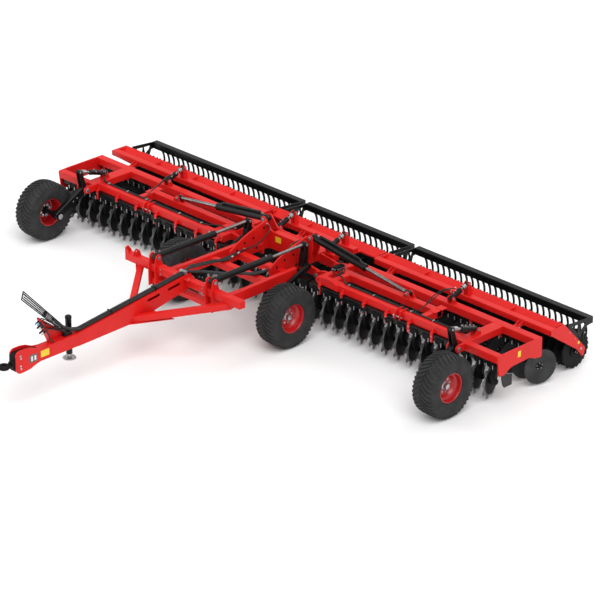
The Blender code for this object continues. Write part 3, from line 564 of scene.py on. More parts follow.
@dataclass
class Assembly:
    """A group of pieces that are built and dressed together."""

    stock: Stock
    side: int = 1

    @property
    def name(self) -> str:
        """Which side of the machine the assembly is on."""
        return "right" if self.side > 0 else "left"

    def shape(self) -> Shape:
        """An empty mesh on the assembly's side."""
        return Shape(self.stock.place(self.side))

    def bolts(self, shape: Shape, places: Sequence[Sequence[float]], direction: Sequence[float],
              size: float = 0.02) -> None:
        """Add hexagon bolt heads.

        Args:
            shape: What they are added to.
            places: Where they sit.
            direction: Where their heads point.
            size: Their size, about a head's width.
        """
        for at in places:
            shape.stamp(self.stock.bolt, towards(direction, at) @ Matrix.Scale(size, 4))

    def head(self, shape: Shape, at: Sequence[float], way: Sequence[float], size: float) -> None:
        """Add a pin's head that faces along way."""
        shape.stamp(self.stock.pin_head, towards(way, at) @ Matrix.Scale(size, 4))

    def pin(self, shape: Shape, at: Point, half: float, radius: float) -> None:
        """Add a cross pin with a head at both ends, along X.

        Args:
            shape: What the solids are added to.
            at: Its middle.
            half: Half of its length.
            radius: Its radius.
        """
        shape.rod((at[0] - half, at[1], at[2]), (at[0] + half, at[1], at[2]), radius * 0.8, 14)
        for way in (-1, 1):
            self.head(shape, (at[0] + way * half, at[1], at[2]), (way, 0, 0), radius)

    def put(self, shape: Shape, name: str, finish: Finish, body: str, *nodes: str) -> None:
        """Make an object of a shape, dress it and hang it on a body.

        Args:
            shape: The finished shape.
            name: The piece's name.
            finish: Its finish.
            body: The body that it rides on.
            nodes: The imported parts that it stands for.
        """
        mesh = shape.mesh(name)
        mesh.materials.append(self.stock.materials[finish])
        made = bpy.data.objects.new(name, mesh)
        bpy.context.scene.collection.objects.link(made)
        weighted = made.modifiers.new("even_faces", "WEIGHTED_NORMAL")
        weighted.keep_sharp = True
        if nodes:
            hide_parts(*nodes)
        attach(made, body)
        LOG.info("%s: %d faces in %s", name, len(mesh.polygons), finish.name.lower())


# --- drawbar ------------------------------------------------------------------------------------------
def band(path: Sequence[Flat], wide: float | Sequence[float]) -> list[Flat]:
    """The outline of a flat strip that follows a path.

    Args:
        path: The strip's middle line.
        wide: Its width, or its width at each point.

    Returns:
        The outline's points.
    """
    widths = [wide] * len(path) if isinstance(wide, float) else list(wide)
    left, right = [], []
    for i, here in enumerate(path):
        before, after = path[max(i - 1, 0)], path[min(i + 1, len(path) - 1)]
        way = Vector((after[0] - before[0], after[1] - before[1])).normalized() * widths[i] / 2
        left.append((here[0] - way.y, here[1] + way.x))
        right.append((here[0] + way.y, here[1] - way.x))
    return left + right[::-1]


def curved(points: Sequence[Flat], steps: int = 4) -> list[Flat]:
    """A smooth flat path through the points."""
    return [(p.x, p.y) for p in smooth_path([(a, b, 0.0) for a, b in points], steps)]


@dataclass
class Drawbar(Assembly):
    """The climbing tongue with its hitch cheeks, its diagonals, and the cross beam with the lift plates."""

    wide: float = 0.15
    tall: float = 0.20
    middle_z: float = 0.74
    front_y: float = -3.78
    bend_y: float = -3.07
    rear_y: float = -0.88
    rear_top: float = 1.09
    cross_y: float = -0.95
    cross_top: float = 1.04
    cross_half: float = 1.236

    @property
    def top(self) -> float:
        """Height of the level tongue's top."""
        return self.middle_z + self.tall / 2

    def climb(self, y: float) -> float:
        """Height of the tongue's top at y."""
        slope = (self.rear_top - self.top) / (self.rear_y - self.bend_y)
        return self.top + max(0.0, y - self.bend_y) * slope

    def tongue(self, shape: Shape) -> None:
        """Add the level box and the deep, climbing box with its slotted sides.

        Args:
            shape: What the solids are added to.
        """
        shape.beam((0, self.front_y, self.middle_z), (0, self.bend_y + 0.01, self.middle_z), self.tall,
                   self.wide, 0.014, 3)
        side_plate = [(self.bend_y, 0.641), (-1.95, 0.66), (self.rear_y, 0.87), (self.rear_y, self.rear_top),
                      (self.bend_y, self.top)]
        tilt = math.degrees(math.atan2(self.rear_top - self.top, self.rear_y - self.bend_y))
        slots = [slot_hole((y, self.climb(y) - 0.075), 0.10, 0.022, tilt) for y in (-1.22, -1.62)]
        for x in (-1, 1):
            shape.sheet("X", x * (self.wide / 2 - 0.0065), 0.012, side_plate, slots, 0.0005)
        inner = self.wide - 0.022
        shape.beam((0, self.bend_y, self.top - 0.006), (0, self.rear_y, self.rear_top - 0.006), 0.012, inner,
                   0.002)
        shape.beam((0, self.bend_y, 0.648), (0, -1.95, 0.666), 0.012, inner, 0.002)
        shape.beam((0, -1.95, 0.666), (0, self.rear_y, 0.876), 0.012, inner, 0.002)

    def arms(self, shape: Shape) -> None:
        """Add the diagonals, their webs, and the cross beam.

        Args:
            shape: What the solids are added to.
        """
        for x in (-1, 1):
            shape.beam((x * 0.03, -2.02, 0.71), (x * 0.98, self.cross_y + 0.02, 0.885), 0.10, 0.09, 0.010, 2)
            shape.sheet("Z", 0.722, 0.012, [(x * 0.06, -2.12), (x * 0.06, -1.62), (x * 0.31, -1.62)])
            shape.sheet("Z", 0.668, 0.012, [(x * 0.06, -2.16), (x * 0.06, -1.52), (x * 0.40, -1.52)])
            shape.sheet("X", x * 0.99, 0.014, [(-1.02, 0.84), (-0.875, 0.84), (-0.875, 0.95), (-1.02, 0.95)])
            end = x * self.cross_half
            shape.block((end - x * 0.010, end), (self.cross_y - 0.058, self.cross_y + 0.058),
                        (self.cross_top - 0.118, self.cross_top - 0.002), 0.006)
        self.end_ears(shape)
        level = self.cross_top - 0.06
        shape.beam((-self.cross_half + 0.004, self.cross_y, level),
                   (self.cross_half - 0.004, self.cross_y, level), 0.12, 0.12, 0.012, 3)
        shape.beam((-0.668, -0.93, 0.76), (0.668, -0.93, 0.76), 0.08, 0.14, 0.010, 2)
        shape.sheet("Z", self.cross_top + 0.003, 0.008, [(-0.20, -1.05), (0.20, -1.05), (0.11, -0.86),
                                                         (-0.11, -0.86)])

    def end_ears(self, shape: Shape) -> None:
        """Add the ears that stand on the cross beam's left end.

        Args:
            shape: What the solids are added to.
        """
        back, front = self.cross_y + 0.062, self.cross_y - 0.062
        ear = [(front, 0.925), *arc((front + 0.045, 1.095), 0.045, 180, 60, 8), (back, 1.045), (back, 0.925)]
        shape.sheet("X", -self.cross_half + 0.009, 0.018, ear, bevel=0.003)
        shape.sheet("Y", front + 0.006, 0.012, [(-self.cross_half, 1.03), (-self.cross_half, 1.12),
                                                (-1.19, 1.10), (-1.15, 1.03)], bevel=0.002)
        small = [(front, 1.03), (front + 0.02, 1.10), *arc((self.cross_y, 1.105), 0.032, 170, 10, 8),
                 (back, 1.03)]
        for x in (-1.055, -1.01):
            shape.sheet("X", x, 0.014, small, [round_hole((self.cross_y, 1.10), 0.013)], 0.002)

    def lift_plates(self, shape: Shape) -> None:
        """Add the two pairs of plates that the lift cylinders stand on.

        Args:
            shape: What the solids are added to.
        """
        outline = [(-1.05, 0.70), (-0.855, 0.70), (-0.855, 0.94), (-0.91, 1.10)]
        outline += arc(LIFT_BASE, 0.055, 20, 180) + [(-1.05, 1.02)]
        bore = round_hole(LIFT_BASE, 0.024, 14)
        for x in (-1, 1):
            for gap in (-0.067, 0.067):
                shape.sheet("X", x * (LIFT_X + gap), 0.02, outline, [bore], 0.003)
            shape.block((x * 0.45, x * 0.49), (-1.015, -0.885), (0.90, 1.045), 0.006)

    def cheeks(self, shape: Shape) -> None:
        """Add the rounded cheeks that hold the hitch block.

        Args:
            shape: What the solids are added to.
        """
        outline = [(-3.70, self.top - 0.002), (-3.80, 0.852)]
        outline += curved([(-3.86, 0.878), (-3.94, 0.912), (-4.04, 0.929)])
        outline += arc((-4.14, 0.85), 0.08, 96, 180, 10) + arc((-4.13, 0.665), 0.09, 180, 270, 10)
        outline += curved([(-4.05, 0.577), (-3.95, 0.59), (-3.86, 0.622), (-3.76, 0.645)]) + [(-3.70, 0.642)]
        for x in (-1, 1):
            shape.sheet("X", x * 0.0655, 0.02, outline, bevel=0.004)

    def build(self) -> None:
        """Build the drawbar's pieces."""
        red = self.shape()
        self.tongue(red)
        self.arms(red)
        self.lift_plates(red)
        self.cheeks(red)
        self.put(red, "drawbar_frame", Finish.RED_PAINT, "chassis", "drawbar")
        bright = self.shape()
        heads = [(-4.135, 0.845), (-4.128, 0.805), (-4.135, 0.69), (-4.128, 0.645)]
        for x in (-1, 1):
            self.bolts(bright, [(x * 0.0755, y, z) for y, z in heads], (x, 0, 0), 0.018)
            self.pin(bright, (x * LIFT_X, *LIFT_BASE), 0.083, 0.027)
            self.bolts(bright, [(x * 0.45, -1.016, z) for z in (0.94, 1.01)], FORWARD, 0.012)
        for y in (-0.90, -1.0):
            self.bolts(bright, [(x * 0.15, y, self.cross_top + 0.006) for x in (-1, 1)], UP, 0.012)
        self.put(bright, "drawbar_bolts", Finish.ZINC, "chassis")
        self.labels()

    def labels(self) -> None:
        """Stick the blank labels on the tongue's side."""
        yellow = self.shape()
        yellow.block((0.0745, 0.0765), (-3.765, -3.61), (0.70, 0.80), 0.0004)
        self.put(yellow, "tongue_label", Finish.LABEL, "chassis")
        grey = self.shape()
        grey.block((0.0750, 0.0770), (-3.975, -3.835), (0.68, 0.80), 0.0004)
        self.put(grey, "cheek_label", Finish.GREY_PLATE, "chassis")
        white = self.shape()
        for y in (-3.945, -3.885):
            white.block((0.0765, 0.0775), (y, y + 0.034), (0.70, 0.775), 0.0003)
        self.put(white, "cheek_label_marks", Finish.WHITE_MARK, "chassis")


@dataclass
class TowHitch(Assembly):
    """The forged tow eye on its bolted block."""

    eye_y: float = -4.375
    eye_z: float = 0.735

    def build(self) -> None:
        """Build the hitch block, its shank and its eye."""
        cast = self.shape()
        block = [(-3.785, 0.65), (-3.785, 0.835), (-3.90, 0.868)] + arc((-4.16, 0.815), 0.08, 90, 180, 8)
        block += arc((-4.16, 0.68), 0.08, 180, 270, 8)
        cast.sheet("X", 0.0, 0.108, block, bevel=0.008)
        cast.rod((0, -4.235, self.eye_z), (0, -4.262, self.eye_z), 0.062, 28, 0.048)
        cast.rod((0, -4.20, self.eye_z), (0, -4.315, self.eye_z), 0.034, 24, 0.030)
        ring = [(0.036, 0.020), (0.044, 0.028), (0.074, 0.028), (0.085, 0.016), (0.085, -0.016),
                (0.074, -0.028), (0.044, -0.028), (0.036, -0.020)]
        cast.turned(ring, Matrix.Translation((0, self.eye_y, self.eye_z)), 40, True)
        self.put(cast, "tow_eye", Finish.CAST_BLACK, "chassis", "tow_hitch")


@dataclass
class HoseRack(Assembly):
    """The sloping rod rack that holds the tractor hoses, with the coupler bracket under it."""

    top: Point = (0.0, -3.975, 1.772)
    low: Point = (0.0, -4.012, 1.655)
    back: Point = (0.0, -3.165, 0.885)
    front: Point = (0.0, -3.255, 0.885)

    def build(self) -> None:
        """Build the rack, its hoses, its bracket and the couplers."""
        rods = self.shape()
        ends = [Vector(p) for p in (self.top, self.low, self.back, self.front)]
        for share in (0.0, 0.27, 0.73, 1.0):
            start, end = ends[2].lerp(ends[3], share), ends[0].lerp(ends[1], share)
            thick = 0.0085 if share in (0.0, 1.0) else 0.0065
            rods.rod(start, end, thick, 10)
        for along, thick in ((0.0, 0.010), (0.33, 0.007), (1.0, 0.010)):
            rods.rod(ends[2].lerp(ends[0], along), ends[3].lerp(ends[1], along), thick, 10)
        rods.block((-0.028, 0.028), (-3.285, -3.135), (0.842, 0.862), 0.004)
        rods.block((-0.022, 0.022), (-3.27, -3.15), (0.858, 0.900), 0.005)
        clamp = [tuple(a.lerp(b, 0.5)) for a, b in ((ends[2], ends[0]), (ends[3], ends[1]))]
        rods.beam(clamp[1], clamp[0], 0.045, 0.046, 0.006)
        self.put(rods, "hose_rack_rods", Finish.BLACK_PAINT, "chassis", "hose_rack")
        self.rack_hoses(ends)
        self.bracket()

    def rack_hoses(self, ends: list[Vector]) -> None:
        """Lay the thin hoses between the rack's rods.

        Args:
            ends: The rack's upper and lower corners.
        """
        hoses = self.shape()
        for number, share in enumerate((0.2, 0.5, 0.8)):
            low = ends[2].lerp(ends[3], share)
            high = ends[0].lerp(ends[1], share)
            x = 0.012 * (number - 1)
            points = [low.lerp(high, t) + Vector((x, 0, 0)) for t in (0.03, 0.25, 0.5, 0.75, 0.97)]
            hoses.hose([tuple(p) for p in points], 0.009, 8, 3)
        self.put(hoses, "rack_hoses", Finish.HOSE, "chassis")

    def bracket(self) -> None:
        """Build the triangular bracket with the couplers on its bent front edge."""
        plate = self.shape()
        outline = [(-3.54, 0.8405), (-3.20, 0.8405), (-3.22, 0.885), (-3.692, 1.264), (-3.712, 1.25)]
        plate.sheet("X", -0.052, 0.010, outline, bevel=0.002)
        foot, tip = Vector((-0.005, -3.545, 0.862)), Vector((-0.005, -3.705, 1.243))
        plate.beam(foot, tip, 0.010, 0.11, 0.002)
        self.put(plate, "coupler_bracket_plate", Finish.RED_PAINT, "chassis", "coupler_bracket")
        slope = (tip - foot).normalized()
        face = Vector((0, -slope.z, slope.y))
        black, blue, bright, hoses = self.shape(), self.shape(), self.shape(), self.shape()
        for number, height in enumerate((0.20, 0.30, 0.38)):
            for x in (-0.030, 0.022):
                seat = Vector((x, foot.y, foot.z)) + slope * height
                black.rod(seat + face * 0.004, seat + face * 0.05, 0.014, 12)
                cap = blue if number == 2 else (bright if x > 0 else black)
                cap.rod(seat + face * 0.048, seat + face * 0.078, 0.016, 12, 0.012)
                end = seat - face * 0.02
                points = [tuple(end), tuple(end - face * 0.06 + Vector((0, 0, -0.02))),
                          (x * 0.8, -3.37 + 0.012 * number, 0.925 - 0.01 * number + 0.25 * height),
                          (x * 0.7, -3.25 + 0.01 * number, 0.905)]
                hoses.hose(points, 0.0075, 7, 4)
        edge = [(0.055, -3.50, 0.850), (0.058, -3.565, 0.90), (0.056, -3.60, 1.00), (0.050, -3.665, 1.13),
                (0.030, -3.735, 1.225)]
        hoses.hose(edge, 0.011, 8, 4)
        self.put(black, "couplers", Finish.BLACK_PAINT, "chassis")
        self.put(blue, "coupler_caps", Finish.BLUE_CAP, "chassis")
        self.put(bright, "coupler_rings", Finish.ZINC, "chassis")
        self.put(hoses, "coupler_hoses", Finish.HOSE, "chassis")


@dataclass
class HoseBundle(Assembly):
    """The sleeved hoses on the tongue, and the hoses that fan out from them over the centre frame."""

    drawbar: Drawbar | None = None
    sleeve: float = 0.0185

    def build(self) -> None:
        """Build the bundle, its bands and its branches."""
        hoses = self.shape()
        tops = {y: self.drawbar.climb(y + 0.03) for y in (-2.98, -2.8, -2.4, -1.9, -1.4, -1.02)}
        for x, height in ((-0.030, 0.019), (0.0, 0.030), (0.030, 0.019)):
            points = [(x, y, z + height) for y, z in tops.items()]
            points.append((x, -0.90, self.drawbar.rear_top + height * 0.8))
            bend = [(x * 0.3, -3.47, 1.165), (x * 0.5, -3.31, 1.010), (x * 0.8, -3.165, 0.912),
                    (x, -3.06, 0.880)]
            points = [(a, b, c + height * 0.5) for a, b, c in bend] + points
            hoses.hose(points, self.sleeve, 12, 5)
        self.put(hoses, "tongue_hoses", Finish.HOSE, "chassis", "hose_bundle")
        bright, bands = self.shape(), self.shape()
        for y in (-2.40, -1.55):
            z = self.drawbar.climb(y)
            bands.block((-0.054, 0.054), (y - 0.010, y + 0.010), (z + 0.0005, z + 0.053), 0.006, 2)
        z = self.drawbar.climb(-0.97)
        bright.block((-0.068, 0.068), (-0.995, -0.945), (z + 0.002, z + 0.060), 0.008, 2)
        self.bolts(bright, [(x, -0.97, z + 0.059) for x in (-0.05, 0.05)], UP, 0.010)
        branches = self.branches(bright)
        self.put(bands, "hose_bands", Finish.CAST_BLACK, "chassis")
        self.put(branches, "branch_hoses", Finish.HOSE, "chassis")
        self.put(bright, "hose_fittings", Finish.ZINC, "chassis")

    def branches(self, bright: Shape) -> Shape:
        """Fan the hoses out to both sides of the centre frame.

        Args:
            bright: Where their fittings go.

        Returns:
            The hoses.
        """
        hoses = self.shape()
        for x in (-1, 1):
            for number in range(3):
                lane = 0.036 * (number - 1)
                end_y = 0.30 + 0.16 * number
                points = [(x * 0.03 + lane * 0.5, -0.92, 1.113), (x * (0.12 + lane), -0.70, 1.07),
                          (x * (0.24 + lane), -0.36, 0.97), (x * (0.31 + lane), -0.05, 0.895),
                          (x * (0.34 + lane), 0.14, 0.840), (x * (0.37 + lane), end_y, 0.832)]
                hoses.hose(points, 0.014, 8, 5)
                tip = Vector(points[-1])
                bright.rod(tip, tip + Vector((x * 0.006, 0.045, 0.004)), 0.016, 10)
            points = [(x * 0.37, 0.48, 0.832), (x * 0.39, 0.62, 0.842), (x * 0.30, 0.80, 0.90),
                      (x * 0.27, 0.98, 1.02), (x * 0.32, 1.09, 1.075), (x * 0.40, 1.115, 1.10)]
            hoses.hose(points, 0.010, 8, 5)
            bright.rod((x * 0.40, 1.115, 1.10), (x * 0.43, 1.118, 1.112), 0.013, 10)
        return hoses


@dataclass
class Jack(Assembly):
    """The parking jack on the tongue's left side."""

    x: float = -0.145
    y: float = -3.06
    foot_z: float = 0.38

    def build(self) -> None:
        """Build the sleeve and the leg with its foot."""
        sleeve = self.shape()
        tube = [(0.0, 0.60), (0.030, 0.60), (0.044, 0.592), (0.050, 0.58), (0.050, 0.555), (0.046, 0.55),
                (0.046, 0.0), (0.037, 0.0), (0.037, 0.53), (0.0, 0.53)]
        sleeve.turned(tube, Matrix.Translation((self.x, self.y, 0.455)), 28)
        sleeve.block((-0.0753, self.x + 0.042), (self.y - 0.05, self.y + 0.05), (0.66, 0.82), 0.006)
        self.put(sleeve, "jack_tube", Finish.BLACK_PAINT, "chassis", "jack_sleeve")
        leg = self.shape()
        leg.rod((self.x, self.y, self.foot_z + 0.012), (self.x, self.y, self.foot_z + 0.575), 0.031, 24)
        foot = [(0.0, 0.0), (0.098, 0.0), (0.100, 0.006), (0.096, 0.014), (0.07, 0.018), (0.045, 0.030),
                (0.0, 0.034)]
        leg.turned(foot, Matrix.Translation((self.x, self.y, self.foot_z)), 32)
        self.put(leg, "jack_foot", Finish.ZINC, "jack_leg", "jack_leg")


# --- centre frame -------------------------------------------------------------------------------------
@dataclass
class CentreFrame(Assembly):
    """The longitudinals, cross tubes, gussets, tower and rear beam between the wings."""

    spine_x: float = 0.64
    spine_z: float = 0.765
    gusset_x: float = 0.43
    tower_ys: Span = (1.14, 1.28)
    ear_ys: Span = (1.03, 1.42)

    def spines(self, shape: Shape) -> None:
        """Add the longitudinals with their flared front ends, and the cross tubes.

        Args:
            shape: What the solids are added to.
        """
        for x in (-1, 1):
            front = (x * self.spine_x, -0.8545, self.spine_z)
            rear = (x * (self.spine_x - 0.03), 0.72, self.spine_z)
            shape.beam(front, rear, 0.17, 0.08, 0.012, 3)
            flare = [(-0.862, 0.685), (-0.862, 0.90)]
            flare += curved([(-0.80, 0.898), (-0.70, 0.872), (-0.58, 0.853)])
            flare += [(-0.40, 0.850), (-0.40, 0.685)]
            shape.sheet("X", x * (self.spine_x - 0.046), 0.012, flare)
            shape.sheet("X", x * (self.spine_x + 0.036), 0.012, flare)
            shape.sheet("Z", 0.858, 0.012, [(x * 0.60, -0.862), (x * 0.47, -0.862), (x * 0.59, -0.62)])
        for y in (0.16, 0.58):
            shape.beam((-0.60, y, 0.755), (0.60, y, 0.755), 0.11, 0.12, 0.012, 3)

    def tower(self, shape: Shape) -> None:
        """Add the curved gussets, the notched tower plates and the rear beam.

        Args:
            shape: What the solids are added to.
        """
        gusset = [(0.36, 0.70), (0.36, 0.86)]
        gusset += curved([(0.37, 0.885), (0.56, 0.99), (0.80, 1.08), (1.0, 1.135), (1.142, 1.17)])
        gusset += [(1.145, 0.70)]
        low, high = self.tower_ys
        for x in (-1, 1):
            shape.sheet("X", x * self.gusset_x, 0.03, gusset, [round_hole((0.99, 0.83), 0.028, 14)], 0.004)
            shape.block((x * 0.38, x * 0.46), (low - 0.01, 1.50), (0.70, 0.82), 0.010, 2)
            shape.sheet("Y", 1.07, 0.014, [(x * 0.44, 0.80), (x * 0.52, 0.80), (x * 0.44, 1.02)])
        right = arc(FOLD_BASE, 0.055, 0, 120, 8)
        plate = [(-0.47, 0.72), (0.47, 0.72), (0.56, 0.98), *right,
                 *curved([(0.40, 1.10), (0.34, 1.03), (0.28, 1.008)]),
                 *curved([(-0.28, 1.008), (-0.34, 1.03), (-0.40, 1.10)]), *[(-a, b) for a, b in right[::-1]],
                 (-0.56, 0.98)]
        bores = [round_hole((x * FOLD_BASE[0], FOLD_BASE[1]), 0.022, 14) for x in (-1, 1)]
        for y in self.tower_ys:
            shape.sheet("Y", y, 0.025, plate, bores, 0.004)
        shape.beam((-0.66, REAR_BEAM_Y, 0.7605), (0.66, REAR_BEAM_Y, 0.7605), 0.12, 0.13, 0.012, 3)
        shape.block((-0.30, 0.30), (low, high), (0.985, 0.999), 0.003)

    def ears(self, shape: Shape) -> None:
        """Add the hinge ears, and the ears and brackets behind the rear beam.

        Args:
            shape: What the solids are added to.
        """
        outline = [(0.40, 0.645), *arc(WING_HINGE, 0.055, -90, 90, 12), (0.40, 0.815)]
        bore = round_hole(WING_HINGE, 0.030, 16)
        for y in self.ear_ys:
            for x in (-1, 1):
                shape.sheet("Y", y, 0.04, [(x * a, b) for a, b in outline], [[(x * a, b) for a, b in bore]],
                            0.004)
        for x in (-1, 1):
            depth_ears(shape, x * CENTRE_DEPTH_X)
            roller_bracket(shape, x * CENTRE_BRACKET_X)

    def build(self) -> None:
        """Build the centre frame's pieces."""
        red = self.shape()
        self.spines(red)
        self.tower(red)
        self.ears(red)
        self.put(red, "centre_frame_steel", Finish.RED_PAINT, "chassis", "centre_frame")
        bright, black = self.shape(), self.shape()
        for x in (-1, 1):
            face = x * (self.gusset_x + 0.015)
            places = [(face, y, z) for y, z in ((0.50, 0.86), (0.66, 0.93), (0.84, 0.96), (1.06, 1.06),
                                                (0.90, 0.78))]
            self.bolts(black, places, (x, 0, 0), 0.020)
            inner = [(x * (self.gusset_x - 0.015), y, z) for _, y, z in places]
            self.bolts(black, inner, (-x, 0, 0), 0.020)
            self.bolts(bright, [(x * (self.spine_x - 0.052), -0.80 + 0.06 * i, 0.86) for i in range(3)],
                       (-x, 0, 0), 0.010)
            self.pin(bright, (x * CENTRE_DEPTH_X, *DEPTH_BASE), 0.056, 0.020)
            for y, way in ((1.127, FORWARD), (1.293, BACK)):
                self.head(bright, (x * FOLD_BASE[0], y, FOLD_BASE[1]), way, 0.032)
        self.put(bright, "centre_frame_bolts", Finish.ZINC, "chassis")
        self.put(black, "centre_gusset_bolts", Finish.CAST_BLACK, "chassis")
        label = self.shape()
        label.block((-0.235, -0.115), (1.1262, 1.1280), (0.865, 0.955), 0.0004)
        label.block((0.10, 0.19), (1.1262, 1.1280), (0.88, 0.93), 0.0004)
        self.put(label, "tower_labels", Finish.LABEL, "chassis")


def depth_ears(shape: Shape, x: float) -> None:
    """Add the pair of ears on a rear beam that holds a depth cylinder's base."""
    outline = [(1.47, 0.80), (1.58, 0.80), *arc(DEPTH_BASE, 0.035, 0, 180, 12)]
    shape.twins("X", x, 0.046, 0.012, outline, [round_hole(DEPTH_BASE, 0.014)], 0.002)


def roller_bracket(shape: Shape, x: float) -> None:
    """Add the bracket behind a rear beam that a roller carrier hinges on."""
    outline = [(1.50, 0.705), (1.50, 0.815), *arc(ROLLER_HINGE, 0.04, 90, -90, 12)]
    shape.sheet("X", x, 0.03, outline, [round_hole(ROLLER_HINGE, 0.016)], 0.004)


# --- cylinders ----------------------------------------------------------------------------------------
@dataclass
class Cylinder(Assembly):
    """A hydraulic cylinder: its barrel with ports and pipe, and its rod with an eye."""

    label: str = ""
    base: Point = (0.0, 0.0, 0.0)
    eye: Point = (0.0, 0.0, 0.0)
    barrel: float = 1.0
    radius: float = 0.05
    rod: float = 0.025
    pin_way: Point = (1.0, 0.0, 0.0)
    eye_wide: float = 0.06
    spacers: int = 0
    pipe: bool = False
    pipe_share: float = 0.2
    suffix: str = ""

    def build(self) -> None:
        """Build the barrel's pieces and the rod's pieces."""
        base, eye = Vector(self.base), Vector(self.eye)
        axis, pin = (eye - base).normalized(), Vector(self.pin_way)
        half = pin * self.eye_wide / 2
        tag = f"{self.label}_barrel{self.suffix}"
        black, bright = self.shape(), self.shape()
        r = self.radius
        profile = [(0.0, r * 0.35), (r * 0.9, r * 0.35), (r, r * 0.6), (r, self.barrel - r * 1.1),
                   (r * 1.07, self.barrel - r * 1.05), (r * 1.07, self.barrel - r * 0.15),
                   (r * 0.95, self.barrel), (self.rod * 1.12, self.barrel),
                   (self.rod * 1.12, self.barrel - 0.01), (0.0, self.barrel - 0.01)]
        black.turned(profile, towards(axis, base), 30)
        black.rod(base - half, base + half, r * 0.82, 24, bevel=0.002)
        above = (Vector(UP) - Vector(UP).dot(axis) * axis).normalized()
        ports = [base + axis * (r * 1.7), base + axis * (self.barrel - r * 2.2)]
        for at in ports:
            bright.rod(at + above * r * 0.9, at + above * (r * 1.42), r * 0.26, 10)
        if self.pipe:
            lift = above * r * (1.02 + self.pipe_share)
            black.hose([tuple(ports[1] + above * r * 0.95), tuple(ports[1] + lift - axis * 0.05),
                        tuple(base + axis * self.barrel * 0.5 + lift), tuple(base + axis * (r * 2.6) + lift)],
                       r * self.pipe_share, 10, 4)
        self.put(black, f"{tag}_tube", Finish.BLACK_PAINT, tag, tag)
        self.put(bright, f"{tag}_ports", Finish.ZINC, tag)
        self.rod_pieces(base, eye, axis, half)

    def rod_pieces(self, base: Vector, eye: Vector, axis: Vector, half: Vector) -> None:
        """Build the rod, its eye and its spacers.

        Args:
            base: The barrel's base pin.
            eye: The rod's eye.
            axis: The direction from base to eye.
            half: Half of the eye's boss.
        """
        tag = f"{self.label}_rod{self.suffix}"
        inside = min(0.16, 0.45 * self.barrel)
        chrome, black, bright = self.shape(), self.shape(), self.shape()
        chrome.rod(base + axis * (self.barrel - inside), eye - axis * self.rod * 1.2, self.rod, 24)
        black.rod(eye - half, eye + half, self.rod * 1.5, 24, bevel=0.0015)
        black.rod(eye - axis * self.rod * 2.4, eye - axis * self.rod * 0.9, self.rod * 1.22, 20,
                  self.rod * 1.4)
        for number in range(self.spacers):
            at = eye - axis * (self.rod * 2.7 + 0.028 * number)
            bright.rod(at - axis * 0.022, at, self.rod * 1.9, 20)
        reach = half.normalized()
        for way in (-1, 1):
            self.head(bright, eye + reach * way * (half.length + 0.0005), reach * way, self.rod * 0.95)
        self.put(chrome, f"{tag}_bar", Finish.ROD_CHROME, tag, tag)
        self.put(black, f"{tag}_eye", Finish.BLACK_PAINT, tag)
        self.put(bright, f"{tag}_fittings", Finish.ZINC, tag)


# --- wheels and their arms ----------------------------------------------------------------------------
class Place(Enum):
    """Where a wheel is on a side of the machine."""

    INNER = "inner"
    OUTER = "outer"


